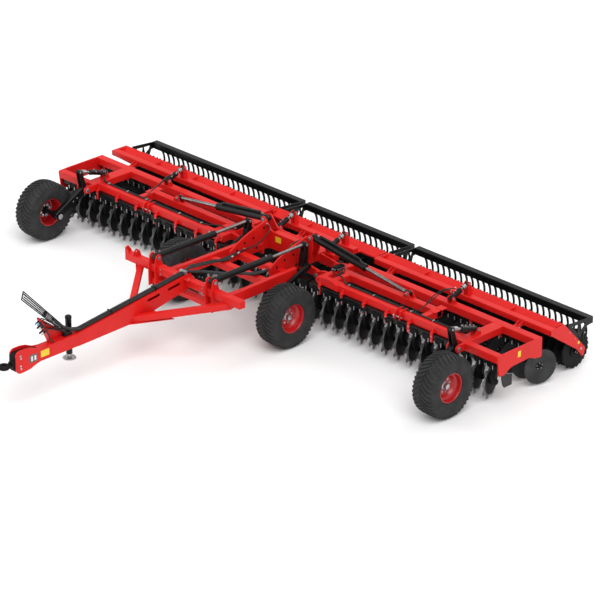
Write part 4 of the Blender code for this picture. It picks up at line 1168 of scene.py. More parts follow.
@dataclass
class Wheel(Assembly):
    """A wide flotation tyre on its dished rim."""

    place: Place = Place.INNER
    x: float = 1.148
    lugs: int = 40

    @property
    def body(self) -> str:
        """The body that the wheel turns with."""
        return f"{self.name}_{self.place.value}_wheel"

    def seat(self) -> Matrix:
        """The wheel's place: its Z along the axle, away from the machine's middle."""
        return Matrix.Translation((self.x, 0, HUB_Z)) @ Matrix.Rotation(math.pi / 2, 4, "Y")

    def tyre(self) -> None:
        """Build the casing with its side rings, and the curved lugs of its tread."""
        rubber = self.shape()
        side = [(0.2245, 0.150), (0.232, 0.168), (0.246, 0.176), (0.262, 0.176), (0.268, 0.181),
                (0.290, 0.188), (0.322, 0.1925), (0.326, 0.1950), (0.336, 0.1950), (0.340, 0.1935),
                (0.368, 0.193), (0.396, 0.188), (0.412, 0.182), (0.418, 0.182), (0.428, 0.176),
                (0.438, 0.164), (0.446, 0.145), (0.4510, 0.105), (0.4530, 0.05), (0.4535, 0.0)]
        profile = side + [(r, -z) for r, z in side[-2::-1]]
        rubber.turned(profile, self.seat(), 72, True)
        step = 2 * math.pi / self.lugs
        for way in (-1, 1):
            for number in range(self.lugs):
                self.lug(rubber, way, step * (number + 0.25 * way))
        self.put(rubber, f"{self.body}_tyre", Finish.TREAD, self.body, f"{self.name}_{self.place.value}_tyre")

    def lug(self, shape: Shape, way: int, angle: float) -> None:
        """Add one lug, which sweeps from the tread's middle round its shoulder.

        Args:
            shape: What the solids are added to.
            way: 1 or -1, the side of the tread that it is on.
            angle: Its place round the tyre.
        """
        part = bmesh.new()
        stations = ((0.003, 0.4700, 0.00, 0.022), (0.045, 0.4698, 0.075, 0.024),
                    (0.090, 0.4688, 0.135, 0.026), (0.130, 0.4655, 0.175, 0.028),
                    (0.158, 0.4585, 0.195, 0.030), (0.1845, 0.4380, 0.205, 0.030))
        rows = []
        for z, reach, lag, wide in stations:
            low = reach - 0.026
            row = []
            for r, spread in ((low, 1.25), (reach, 1.0), (reach, -1.0), (low, -1.25)):
                turn = angle + lag + spread * wide / 2 / r
                row.append(part.verts.new((r * math.cos(turn), r * math.sin(turn), way * z)))
            rows.append(row)
        for a, b in zip(rows, rows[1:]):
            for k in range(4):
                part.faces.new((a[k], a[(k + 1) % 4], b[(k + 1) % 4], b[k]))
        part.faces.new(rows[0])
        part.faces.new(rows[-1])
        shape.take(part, self.seat())

    def rim_pieces(self) -> None:
        """Build the dished rim, its hub and its nuts."""
        red, bright, black = self.shape(), self.shape(), self.shape()
        profile = [(0.030, 0.030), (0.128, 0.030), (0.138, 0.036), (0.156, 0.070), (0.176, 0.084),
                   (0.192, 0.088), (0.198, 0.100), (0.201, 0.138), (0.210, 0.152), (0.2244, 0.1525),
                   (0.2244, 0.140), (0.212, 0.130), (0.208, 0.085), (0.203, 0.060), (0.203, -0.085),
                   (0.212, -0.130), (0.2244, -0.140), (0.2244, -0.1525), (0.210, -0.152), (0.200, -0.138),
                   (0.194, -0.090), (0.190, 0.040), (0.170, 0.052), (0.148, 0.020), (0.128, 0.012),
                   (0.030, 0.012)]
        red.turned(profile, self.seat(), 56, True)
        self.put(red, f"{self.body}_rim", Finish.RIM_PAINT, self.body, f"{self.name}_{self.place.value}_rim")
        hub = [(0.0, 0.100), (0.030, 0.100), (0.042, 0.094), (0.046, 0.082), (0.046, 0.045), (0.062, 0.036),
               (0.062, 0.028), (0.0, 0.028)]
        bright.turned(hub, self.seat(), 32)
        back = [(0.0, -0.028), (0.060, -0.028), (0.072, -0.018), (0.100, -0.010), (0.104, 0.010),
                (0.0, 0.010)]
        black.turned(back, self.seat(), 32)
        turned_over = Matrix.Rotation(math.pi, 4, "X")
        for outer, inner in zip(round_places(8, 0.098, 0.030, 0.2), round_places(8, 0.088, -0.018, 0.2)):
            bright.stamp(self.stock.bolt, self.seat() @ outer @ Matrix.Scale(0.020, 4))
            bright.stamp(self.stock.bolt, self.seat() @ inner @ turned_over @ Matrix.Scale(0.026, 4))
        self.put(bright, f"{self.body}_hub", Finish.ZINC, self.body)
        self.put(black, f"{self.body}_drum", Finish.CAST_BLACK, self.body)

    def build(self) -> None:
        """Build the wheel."""
        self.tyre()
        self.rim_pieces()


@dataclass
class LiftArm(Assembly):
    """The arm of an inner wheel, with its cross shaft and its crank."""

    x: float = 0.72
    pivot: Flat = (0.88, 0.84)
    axle_end: float = 1.117

    def build(self) -> None:
        """Build the arm's steel and its bolts."""
        y, z = self.pivot
        body = f"{self.name}_lift_arm"
        steel, bright = self.shape(), self.shape()
        outline = [*arc((y, z), 0.050, 0, 90, 6), *arc((-0.005, HUB_Z), 0.064, 100, 255, 12),
                   (0.66, 0.738), (y + 0.01, z - 0.045)]
        steel.sheet("X", self.x, 0.05, outline, bevel=0.005)
        steel.rod((0.556, y, z), (0.735, y, z), 0.041, 24)
        steel.rod((0.73, 0, HUB_Z), (self.axle_end, 0, HUB_Z), 0.043, 24, 0.036)
        steel.rod((0.742, 0, HUB_Z), (0.775, 0, HUB_Z), 0.066, 24, 0.056)
        crank = [(y - 0.052, z), *arc((y, z), 0.052, 190, 350, 8), *arc(LIFT_EYE, 0.040, 0, 180, 12)]
        steel.twins("X", LIFT_X, 0.040, 0.018, crank, [round_hole(LIFT_EYE, 0.019, 14)], 0.003)
        steel.beam((LIFT_X, y - 0.035, z + 0.03), (LIFT_X, y - 0.008, z + 0.20), 0.012, 0.062, 0.002)
        self.put(steel, f"{body}_steel", Finish.BLACK_PAINT, body, body)
        self.pin(bright, (LIFT_X, *LIFT_EYE), 0.050, 0.024)
        for way in (-1, 1):
            face = self.x + way * 0.025
            self.bolts(bright, [(face, 0.04, HUB_Z), (face, -0.02, 0.50)], (way, 0, 0), 0.013)
        self.put(bright, f"{body}_pins", Finish.ZINC, body)


@dataclass
class GaugeArm(Assembly):
    """The arm of an outer wheel, with its pin and its crank."""

    axle_end: float = 4.282

    def build(self) -> None:
        """Build the arm's steel, its pins and its bolts."""
        y, z = GAUGE_PIVOT
        body = f"{self.name}_gauge_arm"
        steel, bright = self.shape(), self.shape()
        outline = [*arc((y, z), 0.064, -60, 110, 12), (0.28, 0.694),
                   *arc((-0.004, HUB_Z), 0.064, 115, 265, 12), (0.26, 0.530)]
        steel.sheet("X", GAUGE_X, 0.088, outline, bevel=0.010)
        steel.rod((GAUGE_X - 0.062, y, z), (GAUGE_X + 0.062, y, z), 0.027, 20)
        steel.rod((GAUGE_X - 0.076, 0, HUB_Z), (self.axle_end, 0, HUB_Z), 0.043, 24, 0.036)
        steel.rod((GAUGE_X + 0.046, 0, HUB_Z), (GAUGE_X + 0.085, 0, HUB_Z), 0.072, 24, 0.060)
        crank = [*arc((y, z), 0.052, 185, 355, 8), *arc(GAUGE_EYE, 0.032, 0, 180, 12)]
        steel.twins("X", GAUGE_X, 0.036, 0.014, crank, [round_hole(GAUGE_EYE, 0.015)], 0.003)
        steel.beam((GAUGE_X, y - 0.02, z + 0.05), (GAUGE_X, y - 0.055, z + 0.20), 0.012, 0.06, 0.002)
        self.put(steel, f"{body}_steel", Finish.BLACK_PAINT, body, body)
        self.pin(bright, (GAUGE_X, *GAUGE_EYE), 0.044, 0.020)
        for way in (-1, 1):
            face = GAUGE_X + way * 0.0445
            self.bolts(bright, [(face, 0.30, 0.63), (face, 0.38, 0.665)], (way, 0, 0), 0.014)
        self.head(bright, (GAUGE_X - 0.076, 0.0, HUB_Z), (-1, 0, 0), 0.042)
        self.put(bright, f"{body}_pins", Finish.ZINC, body)


# --- disc rows ----------------------------------------------------------------------------------------
class Blade(Enum):
    """The edge of a disc."""

    NOTCHED = "notched"
    PLAIN = "plain"


@dataclass
class DiscSet(Assembly):
    """The meshes that every disc is copied from: blades, arms, their bolts, and a black cap of painted shade
    over a notched blade's middle.
    """

    radius: float = 0.27
    dish: float = 0.036
    thick: float = 0.006
    notches: int = 9
    notch: float = 0.055
    blades: dict[Blade, bpy.types.Mesh] = field(default_factory=dict)
    arms: dict[Blade, bpy.types.Mesh] = field(default_factory=dict)
    screws: bpy.types.Mesh | None = None
    hub_screws: bpy.types.Mesh | None = None
    # centre is a thin black cap over a notched blade's middle, out to the radius below: painted shade for the
    # dark dished hollow.
    centre: bpy.types.Mesh | None = None
    painted_shade_radius: float = 0.198

    def height(self, radius: float) -> float:
        """How far the dished blade stands off its middle plane at a radius."""
        return self.dish * ((radius / self.radius) ** 2 - 0.45)

    def blade(self, kind: Blade) -> bpy.types.Mesh:
        """Make a dished blade whose hollow side faces its Z.

        Args:
            kind: Its edge.

        Returns:
            The blade's mesh.
        """
        radii = [0.0, 0.055, 0.075, 0.12, 0.165, 0.21, 0.252, self.radius]
        front = [(r, self.height(r) + self.thick / 2) for r in radii[:-1]]
        profile = [*front, (self.radius, self.height(self.radius))]
        profile += [(r, h - self.thick) for r, h in front[::-1]]
        count = len(profile)
        tips = {count // 2, count // 2 - 1, count // 2 + 1}

        def edge(number: int, angle: float) -> float:
            """The blade's reach at an angle, with its scallops.

            Args:
                number: The profile's point.
                angle: The angle round the axle.

            Returns:
                The reach from the axle.
            """
            reach = profile[number][0]
            if kind is Blade.PLAIN or number not in tips:
                return reach
            share = (angle * self.notches / (2 * math.pi)) % 1.0 - 0.5
            deep = math.sqrt(max(0.0, 1.0 - (share / 0.33) ** 2)) * self.notch
            return min(reach, self.radius - deep - (0.010 if number != count // 2 else 0.0))

        made = Shape()
        made.turned(profile, IDENTITY, self.notches * 12 if kind is Blade.NOTCHED else 56, False, edge)
        return made.mesh("blade")

    def arm(self, reach: float) -> bpy.types.Mesh:
        """Make a disc's arm and its clamp.

        Args:
            reach: How far the disc's middle is behind the carrier.

        Returns:
            The arm, with its origin at the carrier's middle.
        """
        made = Shape()
        path = curved([(0.0, -0.02), (0.035, -0.10), (reach - 0.075, -0.20), (reach - 0.060, -0.30),
                       (reach, -0.351)])
        wide = [0.115 - 0.035 * i / (len(path) - 1) for i in range(len(path))]
        made.sheet("X", 0.0, 0.040, band(path, wide), bevel=0.003)
        for ys in ((-0.066, -0.050), (0.050, 0.066)):
            made.block((-0.078, 0.078), ys, (-0.060, 0.020), 0.006)
        made.block((-0.050, 0.050), (-0.062, 0.062), (-0.072, -0.050), 0.006)
        made.block((-0.030, 0.030), (-0.030, 0.060), (-0.105, -0.060), 0.008)
        return made.mesh("disc_arm")

    def build(self) -> None:
        """Make the meshes."""
        for kind, reach in ((Blade.NOTCHED, 0.06), (Blade.PLAIN, 0.10)):
            self.blades[kind] = self.blade(kind)
            self.arms[kind] = self.arm(reach)
        screws = Shape()
        for x in (-0.0625, 0.0625):
            for y in (-0.076, 0.076):
                screws.rod((x, y, -0.078), (x, y, -0.024), 0.0065, 6)
                screws.stamp(self.stock.bolt, towards(UP, (x, y, -0.026)) @ Matrix.Scale(0.011, 4))
        self.screws = screws.mesh("disc_screws")
        ring = Shape()
        for spot in round_places(5, 0.042, 0.0):
            ring.stamp(self.stock.bolt, spot @ Matrix.Scale(0.010, 4))
        self.hub_screws = ring.mesh("hub_screws")
        # The black cap on both faces of the blade's middle is painted shade: the hollow's darkness drawn as a
        # dark layer.
        radii = [0.0, 0.06, 0.12, self.painted_shade_radius]
        half = self.thick / 2 + 0.0012
        shade_cap_profile = [(r, self.height(r) + half) for r in radii] + [(r, self.height(r) - half) for r in radii[::-1]]
        middle = Shape()
        middle.turned(shade_cap_profile, IDENTITY, 36)
        self.centre = middle.mesh("blade_centre")


@dataclass
class DiscRow(Assembly):
    """A carrier tube with its arms and discs. The arms stand on the side that turn gives."""

    discs: DiscSet | None = None
    row: str = ""
    body: str = "chassis"
    kind: Blade = Blade.NOTCHED
    ends: Span = (0.0, 1.0)
    xs: tuple[float, ...] = ()
    carrier_y: float = 0.77
    hub_y: float = 0.83
    turn: int = 1
    disc_z: float = 0.30
    carrier_z: float = 0.651
    angle: float = math.radians(16)
    guard_x: float = 0.0

    def build(self) -> None:
        """Build the row's pieces."""
        carrier, arms, blades, bright = (self.shape() for _ in range(4))
        hub = [(0.0, -0.012), (0.050, -0.012), (0.054, -0.006), (0.054, 0.012), (0.042, 0.020),
               (0.040, 0.062), (0.030, 0.070), (0.0, 0.070)]
        cap = [(0.0, 0.016), (0.022, 0.016), (0.028, 0.010), (0.052, 0.008), (0.055, 0.0), (0.0, 0.0)]
        low, high = min(self.ends), max(self.ends)
        carrier.beam((low, self.carrier_y, self.carrier_z), (high, self.carrier_y, self.carrier_z), 0.096,
                     0.096, 0.010, 3)
        facing = Vector((math.cos(self.angle), self.turn * math.sin(self.angle), 0.0)) * self.turn
        for x in self.xs:
            middle = Vector((x, self.hub_y, self.disc_z))
            blades.stamp(self.discs.blades[self.kind], towards(-facing, middle))
            # Notched blades get the black cap of painted shade over their middle, which rides in the arms'
            # piece.
            if self.kind is Blade.NOTCHED:
                arms.stamp(self.discs.centre, towards(-facing, middle))
            seat = Matrix.Translation((x + self.turn * 0.075, self.carrier_y, self.carrier_z))
            arms.stamp(self.discs.arms[self.kind], seat)
            bright.stamp(self.discs.screws, seat)
            arms.turned(hub, towards(facing, middle + facing * 0.026), 18)
            arms.turned(cap, towards(-facing, middle + facing * 0.0115), 18)
            bright.stamp(self.discs.hub_screws, towards(-facing, middle + facing * 0.004))
        self.put(carrier, f"{self.row}_carrier", Finish.BLACK_PAINT, self.body, self.row)
        self.put(arms, f"{self.row}_arms", Finish.CAST_BLACK, self.body)
        finish = Finish.NOTCHED_BLADE if self.kind is Blade.NOTCHED else Finish.BLADE
        self.put(blades, f"{self.row}_blades", finish, self.body)
        self.put(bright, f"{self.row}_bolts", Finish.ZINC, self.body)
        if self.guard_x:
            self.guard()

    def guard(self) -> None:
        """Build the soil guard beside the end disc."""
        steel = self.shape()
        outline = [(0.78, 0.66), (0.795, 0.48), *curved([(0.815, 0.37), (0.835, 0.30), (0.87, 0.250)]),
                   (1.03, 0.250), (1.03, 0.41), *curved([(0.96, 0.43), (0.90, 0.48), (0.87, 0.56)]),
                   (0.85, 0.66)]
        slots = [slot_hole((0.825, z), 0.018, 0.007, 90) for z in (0.60, 0.53)]
        steel.sheet("X", self.guard_x, 0.010, outline, slots, 0.001)
        self.put(steel, f"{self.row}_guard", Finish.GUARD_STEEL, self.body)


# --- wings --------------------------------------------------------------------------------------------
@dataclass
class WingFrame(Assembly):
    """A wing's red frame: its beams, ribs, end plate, lugs, hinge ears and hangers."""

    start_x: float = 1.02
    end_x: float = 4.723
    top: float = 0.82
    bottom: float = 0.70
    front_y: float = 0.83
    stub_y: float = 0.72
    rib_xs: Span = (1.28, 3.05)
    ear_ys: Span = (0.985, 1.375)
    plate_x: float = 4.7225

    @property
    def middle_z(self) -> float:
        """Height of the beams' middle."""
        return (self.top + self.bottom) / 2

    def beams(self, shape: Shape) -> None:
        """Add the cross beams, the ribs and the end plate.

        Args:
            shape: What the solids are added to.
        """
        z = self.middle_z
        rib_end = self.rib_xs[1] + 0.05
        for y, x0, x1, wide, tall in ((self.front_y, self.start_x, GAUGE_X - 0.05, 0.12, 0.12),
                                      (self.stub_y, GAUGE_X + 0.05, self.end_x, 0.12, 0.118),
                                      (FOLD_Y, self.start_x, rib_end, 0.12, 0.122),
                                      (REAR_BEAM_Y, self.start_x, self.end_x, 0.136, 0.122)):
            shape.beam((x0, y, z), (x1, y, z), tall, wide, 0.012, 3)
        for x in self.rib_xs:
            shape.beam((x, 0.80, z), (x, 1.26, z), 0.115, 0.10, 0.010, 2)
        shape.beam((GAUGE_X, 0.69, z), (GAUGE_X, 1.52, z), 0.115, 0.20, 0.012, 3)
        shape.beam((self.start_x + 0.051, 0.80, z), (self.start_x + 0.051, 1.52, z), 0.113, 0.098, 0.010, 2)
        for y in (1.14, 1.28):
            gusset = [(3.00, y - 0.06), (3.13, y - 0.06), (3.13, y + 0.06), (3.00, y + 0.06)]
            shape.sheet("Z", self.top + 0.0015, 0.008, gusset)
        outline = [(0.66, 0.80), (0.70, 0.505), (0.712, 0.49), (0.818, 0.49),
                   *curved([(0.84, 0.50), (0.90, 0.54), (0.97, 0.568)]),
                   *curved([(1.33, 0.578), (1.40, 0.555), (1.45, 0.528)]), (1.585, 0.51), (1.60, 0.525),
                   (1.60, 0.81), (1.59, 0.823), (0.86, 0.823), (0.68, 0.818)]
        shape.sheet("X", self.plate_x, 0.025, outline, bevel=0.004)

    def lugs(self, shape: Shape) -> None:
        """Add the wheel fork, and the lugs of the cylinders and of the roller carrier.

        Args:
            shape: What the solids are added to.
        """
        fork = [(0.74, 0.705), (0.74, 0.815), *arc(GAUGE_PIVOT, 0.060, 90, 270, 14)]
        shape.twins("X", GAUGE_X, 0.085, 0.028, fork, [round_hole(GAUGE_PIVOT, 0.032, 16)], 0.004)
        x = FOLD_EYE[0]
        lug = [(x - 0.10, 0.80), (x + 0.10, 0.80), (x + 0.06, 0.86), *arc(FOLD_EYE, 0.045, 10, 170, 12),
               (x - 0.06, 0.86)]
        shape.twins("Y", FOLD_Y, 0.046, 0.018, lug, [round_hole(FOLD_EYE, 0.022, 14)], 0.003)
        base = [(0.93, 0.80), (1.07, 0.80), *arc(GAUGE_BASE, 0.032, 0, 180, 12)]
        shape.twins("X", GAUGE_X, 0.046, 0.012, base, [round_hole(GAUGE_BASE, 0.015)], 0.002)
        depth_ears(shape, WING_DEPTH_X)
        for x in WING_BRACKET_XS:
            roller_bracket(shape, x)

    def hinge_ears(self, shape: Shape) -> None:
        """Add the ears on the hinge axis, and the rounded front ear beside the front beam.

        Args:
            shape: What the solids are added to.
        """
        reach = self.start_x + 0.04
        for y in self.ear_ys:
            tip = arc(WING_HINGE, 0.055, 90, 270, 12)
            outline = [(reach, 0.705), (reach, 0.815), *curved([(0.97, 0.815), (0.88, 0.79), (0.815, 0.757)]),
                       *tip]
            shape.sheet("Y", y, 0.04, outline, bevel=0.004)
        ear = [(1.46, 0.71), (1.46, 0.80), *curved([(1.36, 0.838), (1.24, 0.850), (1.12, 0.832)]),
               *arc((1.055, 0.775), 0.052, 80, 260, 12)]
        shape.sheet("Y", 0.760, 0.020, ear, [round_hole((1.055, 0.775), 0.018)], 0.004)

    def hangers(self, shape: Shape, bright: Shape) -> None:
        """Add the plates that hold the front carrier to the front beam, with their bolts.

        Args:
            shape: What the solids are added to.
            bright: What the bolts are added to.
        """
        count, first, last_front, last_rear = 7, 1.12, 3.86, 4.60
        for number in range(count):
            x = first + (last_front - first) * number / (count - 1)
            shape.block((x - 0.026, x + 0.026), (0.709, 0.7215), (0.575, 0.735), 0.003)
            shape.sheet("X", x, 0.014, [(0.7205, 0.70), (0.7205, 0.735), (0.772, 0.79), (0.772, 0.70)],
                        bevel=0.002)
            shape.block((x - 0.028, x + 0.028), (0.715, 0.775), (0.715, 0.735), 0.003)
            self.bolts(bright, [(x, 0.709, 0.605), (x, 0.709, 0.67)], FORWARD, 0.010)
        for number in range(count):
            x = first + (last_rear - first) * number / (count - 1)
            shape.block((x - 0.028, x + 0.028), (1.50, 1.512), (0.60, 0.705), 0.003)

    def build(self) -> None:
        """Build the wing frame's pieces."""
        body = f"{self.name}_wing"
        red, bright = self.shape(), self.shape()
        self.beams(red)
        self.lugs(red)
        self.hinge_ears(red)
        self.hangers(red, bright)
        self.put(red, f"{body}_steel", Finish.RED_PAINT, body, f"{self.name}_wing_frame")
        for y in self.ear_ys:
            at = (WING_HINGE[0], y - 0.020, WING_HINGE[1])
            self.head(bright, at, FORWARD, 0.034)
            bright.rod((WING_HINGE[0], y, WING_HINGE[1]), (WING_HINGE[0], y + 0.078, WING_HINGE[1]), 0.0245,
                       18)
        for gap, way in ((-0.0555, FORWARD), (0.0555, BACK)):
            at = (FOLD_EYE[0], FOLD_Y + gap, FOLD_EYE[1])
            self.head(bright, at, way, 0.026)
        self.pin(bright, (GAUGE_X, *GAUGE_BASE), 0.056, 0.020)
        self.pin(bright, (WING_DEPTH_X, *DEPTH_BASE), 0.056, 0.020)
        for gap in (-1, 1):
            self.head(bright, (GAUGE_X + gap * 0.099, *GAUGE_PIVOT), (gap, 0, 0), 0.034)
        self.put(bright, f"{body}_bolts", Finish.ZINC, body)
        self.latch(body)
        self.hoses(body)
        label = self.shape()
        label.block((self.plate_x + 0.0120, self.plate_x + 0.0134), (1.085, 1.145), (0.670, 0.762), 0.0003)
        self.put(label, f"{body}_label", Finish.LABEL, body)

    def latch(self, body: str) -> None:
        """Build the transport latch bracket in front of the front beam.

        Args:
            body: The body that it rides on.
        """
        red, bright = self.shape(), self.shape()
        outline = [(0.715, 0.70), (0.700, 0.75), (0.735, 0.835), (0.775, 0.848), (0.885, 0.848),
                   (0.885, 0.82), (0.775, 0.82), (0.775, 0.70)]
        for x in (2.675, 2.765):
            red.sheet("X", x, 0.012, outline, [round_hole((0.735, 0.745), 0.012, 10)], 0.002)
        bright.rod((2.620, 0.735, 0.745), (2.800, 0.735, 0.745), 0.011, 12)
        bright.rod((2.630, 0.735, 0.745), (2.630, 0.735, 0.700), 0.009, 10)
        self.put(red, f"{body}_latch", Finish.RED_PAINT, body)
        self.put(bright, f"{body}_latch_pin", Finish.ZINC, body)

    def hoses(self, body: str) -> None:
        """Lead the wing's hoses from its valve block to the gauge and depth cylinders.

        Args:
            body: The body that they ride on.
        """
        rubber, bright, block = self.shape(), self.shape(), self.shape()
        z, low = self.top + 0.011, self.top + 0.030
        for lane in (0, 1):
            y = 0.878 - 0.021 * lane
            run = [(1.062 + 0.024 * lane, 1.050, low), (1.13, 1.015, z), (1.22, 1.010, z - 0.010),
                   (1.33, 0.995, z), (1.43, 0.93, z), (1.54, y, z), (1.80, y, z), (2.20, y, z), (2.60, y, z),
                   (3.00, y, z), (3.40, y, z), (3.70, y, z), (3.86, y + 0.01, z + 0.012),
                   (3.905, 0.93, z + 0.06), (3.905, 0.97 - 0.10 * lane, 0.955),
                   (3.925, 0.95 - 0.15 * lane, 0.985 + 0.02 * lane),
                   (3.957, 0.945 - 0.165 * lane, 0.955 + 0.045 * lane)]
            rubber.hose(run, 0.009, 7, 4)
            tip = Vector(run[-1])
            bright.rod(tip - Vector((0.03, 0.0, 0.0)), tip, 0.012, 8)
            loop = [(2.86 - 0.04 * lane, y, z), (2.925, 0.93, z + 0.012), (2.95, 1.05, z + 0.06),
                    (2.955 - 0.02 * lane, 1.22, 0.945 + 0.03 * lane), (2.965, 1.40, 1.010 + 0.02 * lane),
                    (2.990, 1.50 + 0.07 * lane, 1.012), (3.017, 1.53 + 0.10 * lane, 0.975 + 0.025 * lane)]
            rubber.hose(loop, 0.008, 7, 4)
            tip = Vector(loop[-1])
            bright.rod(tip - Vector((0.018, 0.0, -0.012)), tip, 0.011, 8)
        for x in (1.60, 2.10, 2.86, 3.30, 3.74):
            bright.block((x - 0.009, x + 0.009), (0.842, 0.889), (self.top, z + 0.011), 0.003)
        block.block((1.035, 1.112), (1.08, 1.26), (self.top + 0.001, self.top + 0.062), 0.008, 2)
        block.rod((1.073, 1.225, self.top + 0.06), (1.073, 1.225, self.top + 0.072), 0.022, 16, 0.016)
        for x in (1.050, 1.062, 1.086, 1.098):
            bright.rod((x, 1.082, low), (x, 1.046, low), 0.010, 10)
        for y in (1.11, 1.16, 1.21):
            bright.rod((1.110, y, low), (1.142, y, low), 0.012, 10)
            rubber.hose([(1.138, y, low), (1.175, y - 0.01, low - 0.006), (1.195, y - 0.05, low - 0.040),
                         (1.135, 1.00, low - 0.105)], 0.008, 7, 4)
        self.put(rubber, f"{body}_hoses", Finish.HOSE, body)
        self.put(bright, f"{body}_fittings", Finish.ZINC, body)
        self.put(block, f"{body}_valve", Finish.CAST_BLACK, body)


# --- rollers ------------------------------------------------------------------------------------------
@dataclass
class RollerSection(Assembly):
    """A roller with its red carrier and its black rack of scraper tines."""

    section: str = "centre"
    ends: Span = (-1.165, 1.165)
    hinge_xs: tuple[float, ...] = (-CENTRE_BRACKET_X, CENTRE_BRACKET_X)
    depth_xs: tuple[float, ...] = (-CENTRE_DEPTH_X, CENTRE_DEPTH_X)
    front_half: float = 0.0
    axle: Flat = (2.44, 0.30)
    radius: float = 0.30
    tine_pitch: float = 0.118
    ring_pitch: float = 0.145

    def carrier(self) -> None:
        """Build the carrier: its tubes, webs, side plates, forks and ears."""
        red, bright = self.shape(), self.shape()
        low, high = self.ends
        front_low, front_high = (-self.front_half, self.front_half) if self.front_half else self.ends
        red.beam((front_low, 1.845, 0.80), (front_high, 1.845, 0.80), 0.09, 0.11, 0.010, 3)
        trough = [(1.935, 0.752), (1.955, 0.752), (2.070, 0.828), (2.073, 0.750), (2.085, 0.750),
                  (2.085, 0.850), (2.066, 0.850), (1.950, 0.775), (1.935, 0.775)]
        floor = [(1.895, 0.757), (1.940, 0.754), (1.940, 0.774), (1.895, 0.774)]
        red.sheet("X", (low + high) / 2, high - low - 0.03, trough, bevel=0.001)
        red.sheet("X", (front_low + front_high) / 2, front_high - front_low, floor, bevel=0.001)
        webs = round((high - low - 0.1) / 0.86)
        for number in range(webs + 1):
            x = low + 0.05 + (high - low - 0.1) * number / webs
            if front_low < x < front_high:
                red.sheet("X", x, 0.014, [(1.88, 0.762), (1.88, 0.840), (1.93, 0.845), (2.070, 0.849),
                                          (1.955, 0.770)], bevel=0.002)
            red.sheet("X", x, 0.012, [(2.08, 0.752), (2.08, 0.848), (2.15, 0.775)], bevel=0.002)
        start = 1.956 if self.front_half else 1.79
        side = [(start, 0.768), (start, 0.838), (start + 0.012, 0.845), (2.07, 0.843), (2.10, 0.832),
                (2.545, 0.345), (2.557, 0.315), (2.525, 0.212), (2.505, 0.208), (2.37, 0.36)]
        for x in (low + 0.012, high - 0.012):
            red.sheet("X", x, 0.022, side, bevel=0.004)
        fork = [(1.82, 0.765), (1.82, 0.835), *arc(ROLLER_HINGE, 0.038, 90, 270, 12)]
        for x in self.hinge_xs:
            red.twins("X", x, 0.032, 0.016, fork, [round_hole(ROLLER_HINGE, 0.014)], 0.003)
            self.pin(bright, (x, *ROLLER_HINGE), 0.044, 0.022)
        ears = [(1.80, 0.83), (1.89, 0.83), *arc(DEPTH_EYE, 0.035, 0, 180, 12)]
        for x in self.depth_xs:
            red.twins("X", x, 0.036, 0.012, ears, [round_hole(DEPTH_EYE, 0.014)], 0.002)
            self.pin(bright, (x, *DEPTH_EYE), 0.046, 0.019)
        for x, way in ((low + 0.0005, -1), (high - 0.0005, 1)):
            self.bolts(bright, [(x, 2.20, 0.685), (x, 2.33, 0.545)], (way, 0, 0), 0.009)
            self.bolts(bright, [(x, 2.46, 0.345)], (way, 0, 0), 0.022)
        body = f"{self.section}_roller_carrier"
        if not self.front_half:
            label = self.shape()
            label.block((high - 0.0006, high + 0.0006), (2.385, 2.425), (0.440, 0.480), 0.0003)
            self.put(label, f"{body}_label", Finish.LABEL, body)
        self.put(red, f"{body}_steel", Finish.RED_PAINT, body, body)
        self.put(bright, f"{body}_pins", Finish.ZINC, body)

    def rack(self) -> None:
        """Build the tine rack with its end trusses."""
        black = self.shape()
        low, high = self.ends[0] + 0.03, self.ends[1] - 0.03
        black.beam((low, 2.69, 0.705), (high, 2.69, 0.705), 0.11, 0.11, 0.008, 2)
        truss = [(2.20, 0.745), (2.20, 0.80), (2.63, 0.758), (2.74, 0.758), (2.74, 0.66), (2.60, 0.64),
                 (2.52, 0.42), (2.46, 0.44)]
        lights = [[(2.285, 0.735), (2.425, 0.722), (2.40, 0.60)],
                  [(2.445, 0.72), (2.58, 0.715), (2.555, 0.655), (2.47, 0.60)],
                  [(2.41, 0.575), (2.47, 0.50), (2.535, 0.62)]]
        for x in (low + 0.01, high - 0.01):
            black.sheet("X", x, 0.016, truss, lights, 0.002)
        path = curved([(2.690, 0.668), (2.725, 0.620), (2.752, 0.560), (2.768, 0.500), (2.772, 0.440),
                       (2.764, 0.375), (2.742, 0.318)], 3)
        tine = band(path, [0.030 - 0.010 * i / (len(path) - 1) for i in range(len(path))])
        count = int((high - low - 0.06) / self.tine_pitch)
        first = (low + high) / 2 - self.tine_pitch * (count - 1) / 2
        for number in range(count):
            x = first + self.tine_pitch * number
            black.sheet("X", x, 0.030, tine, bevel=0.003)
            black.block((x - 0.016, x + 0.016), (2.735, 2.752), (0.655, 0.715), 0.003)
        self.put(black, f"{self.section}_tines", Finish.BLACK_PAINT, f"{self.section}_roller_carrier",
                 f"{self.section}_tine_rack")

    def roller(self) -> None:
        """Build the toothed ring roller."""
        black, bright = self.shape(), self.shape()
        low, high = self.ends[0] + 0.05, self.ends[1] - 0.05
        seat = Matrix.Translation((0, *self.axle)) @ Matrix.Rotation(math.pi / 2, 4, "Y")
        core = [(0.0, low), (0.055, low), (0.055, low + 0.022), (0.108, low + 0.022), (0.108, high - 0.022),
                (0.055, high - 0.022), (0.055, high), (0.0, high)]
        black.turned(core, seat, 32)
        teeth, count = 22, round((high - low - 0.09) / self.ring_pitch)

        def edge(number: int, angle: float) -> float:
            """The ring's reach at an angle, with its saw teeth.

            Args:
                number: The profile's point.
                angle: The angle round the axle.

            Returns:
                The reach from the axle.
            """
            if number not in (1, 2, 3):
                return 0.105
            share = (angle * teeth / (2 * math.pi)) % 1.0
            reach = self.radius - 0.030 * share
            return reach if number == 2 else reach - 0.016

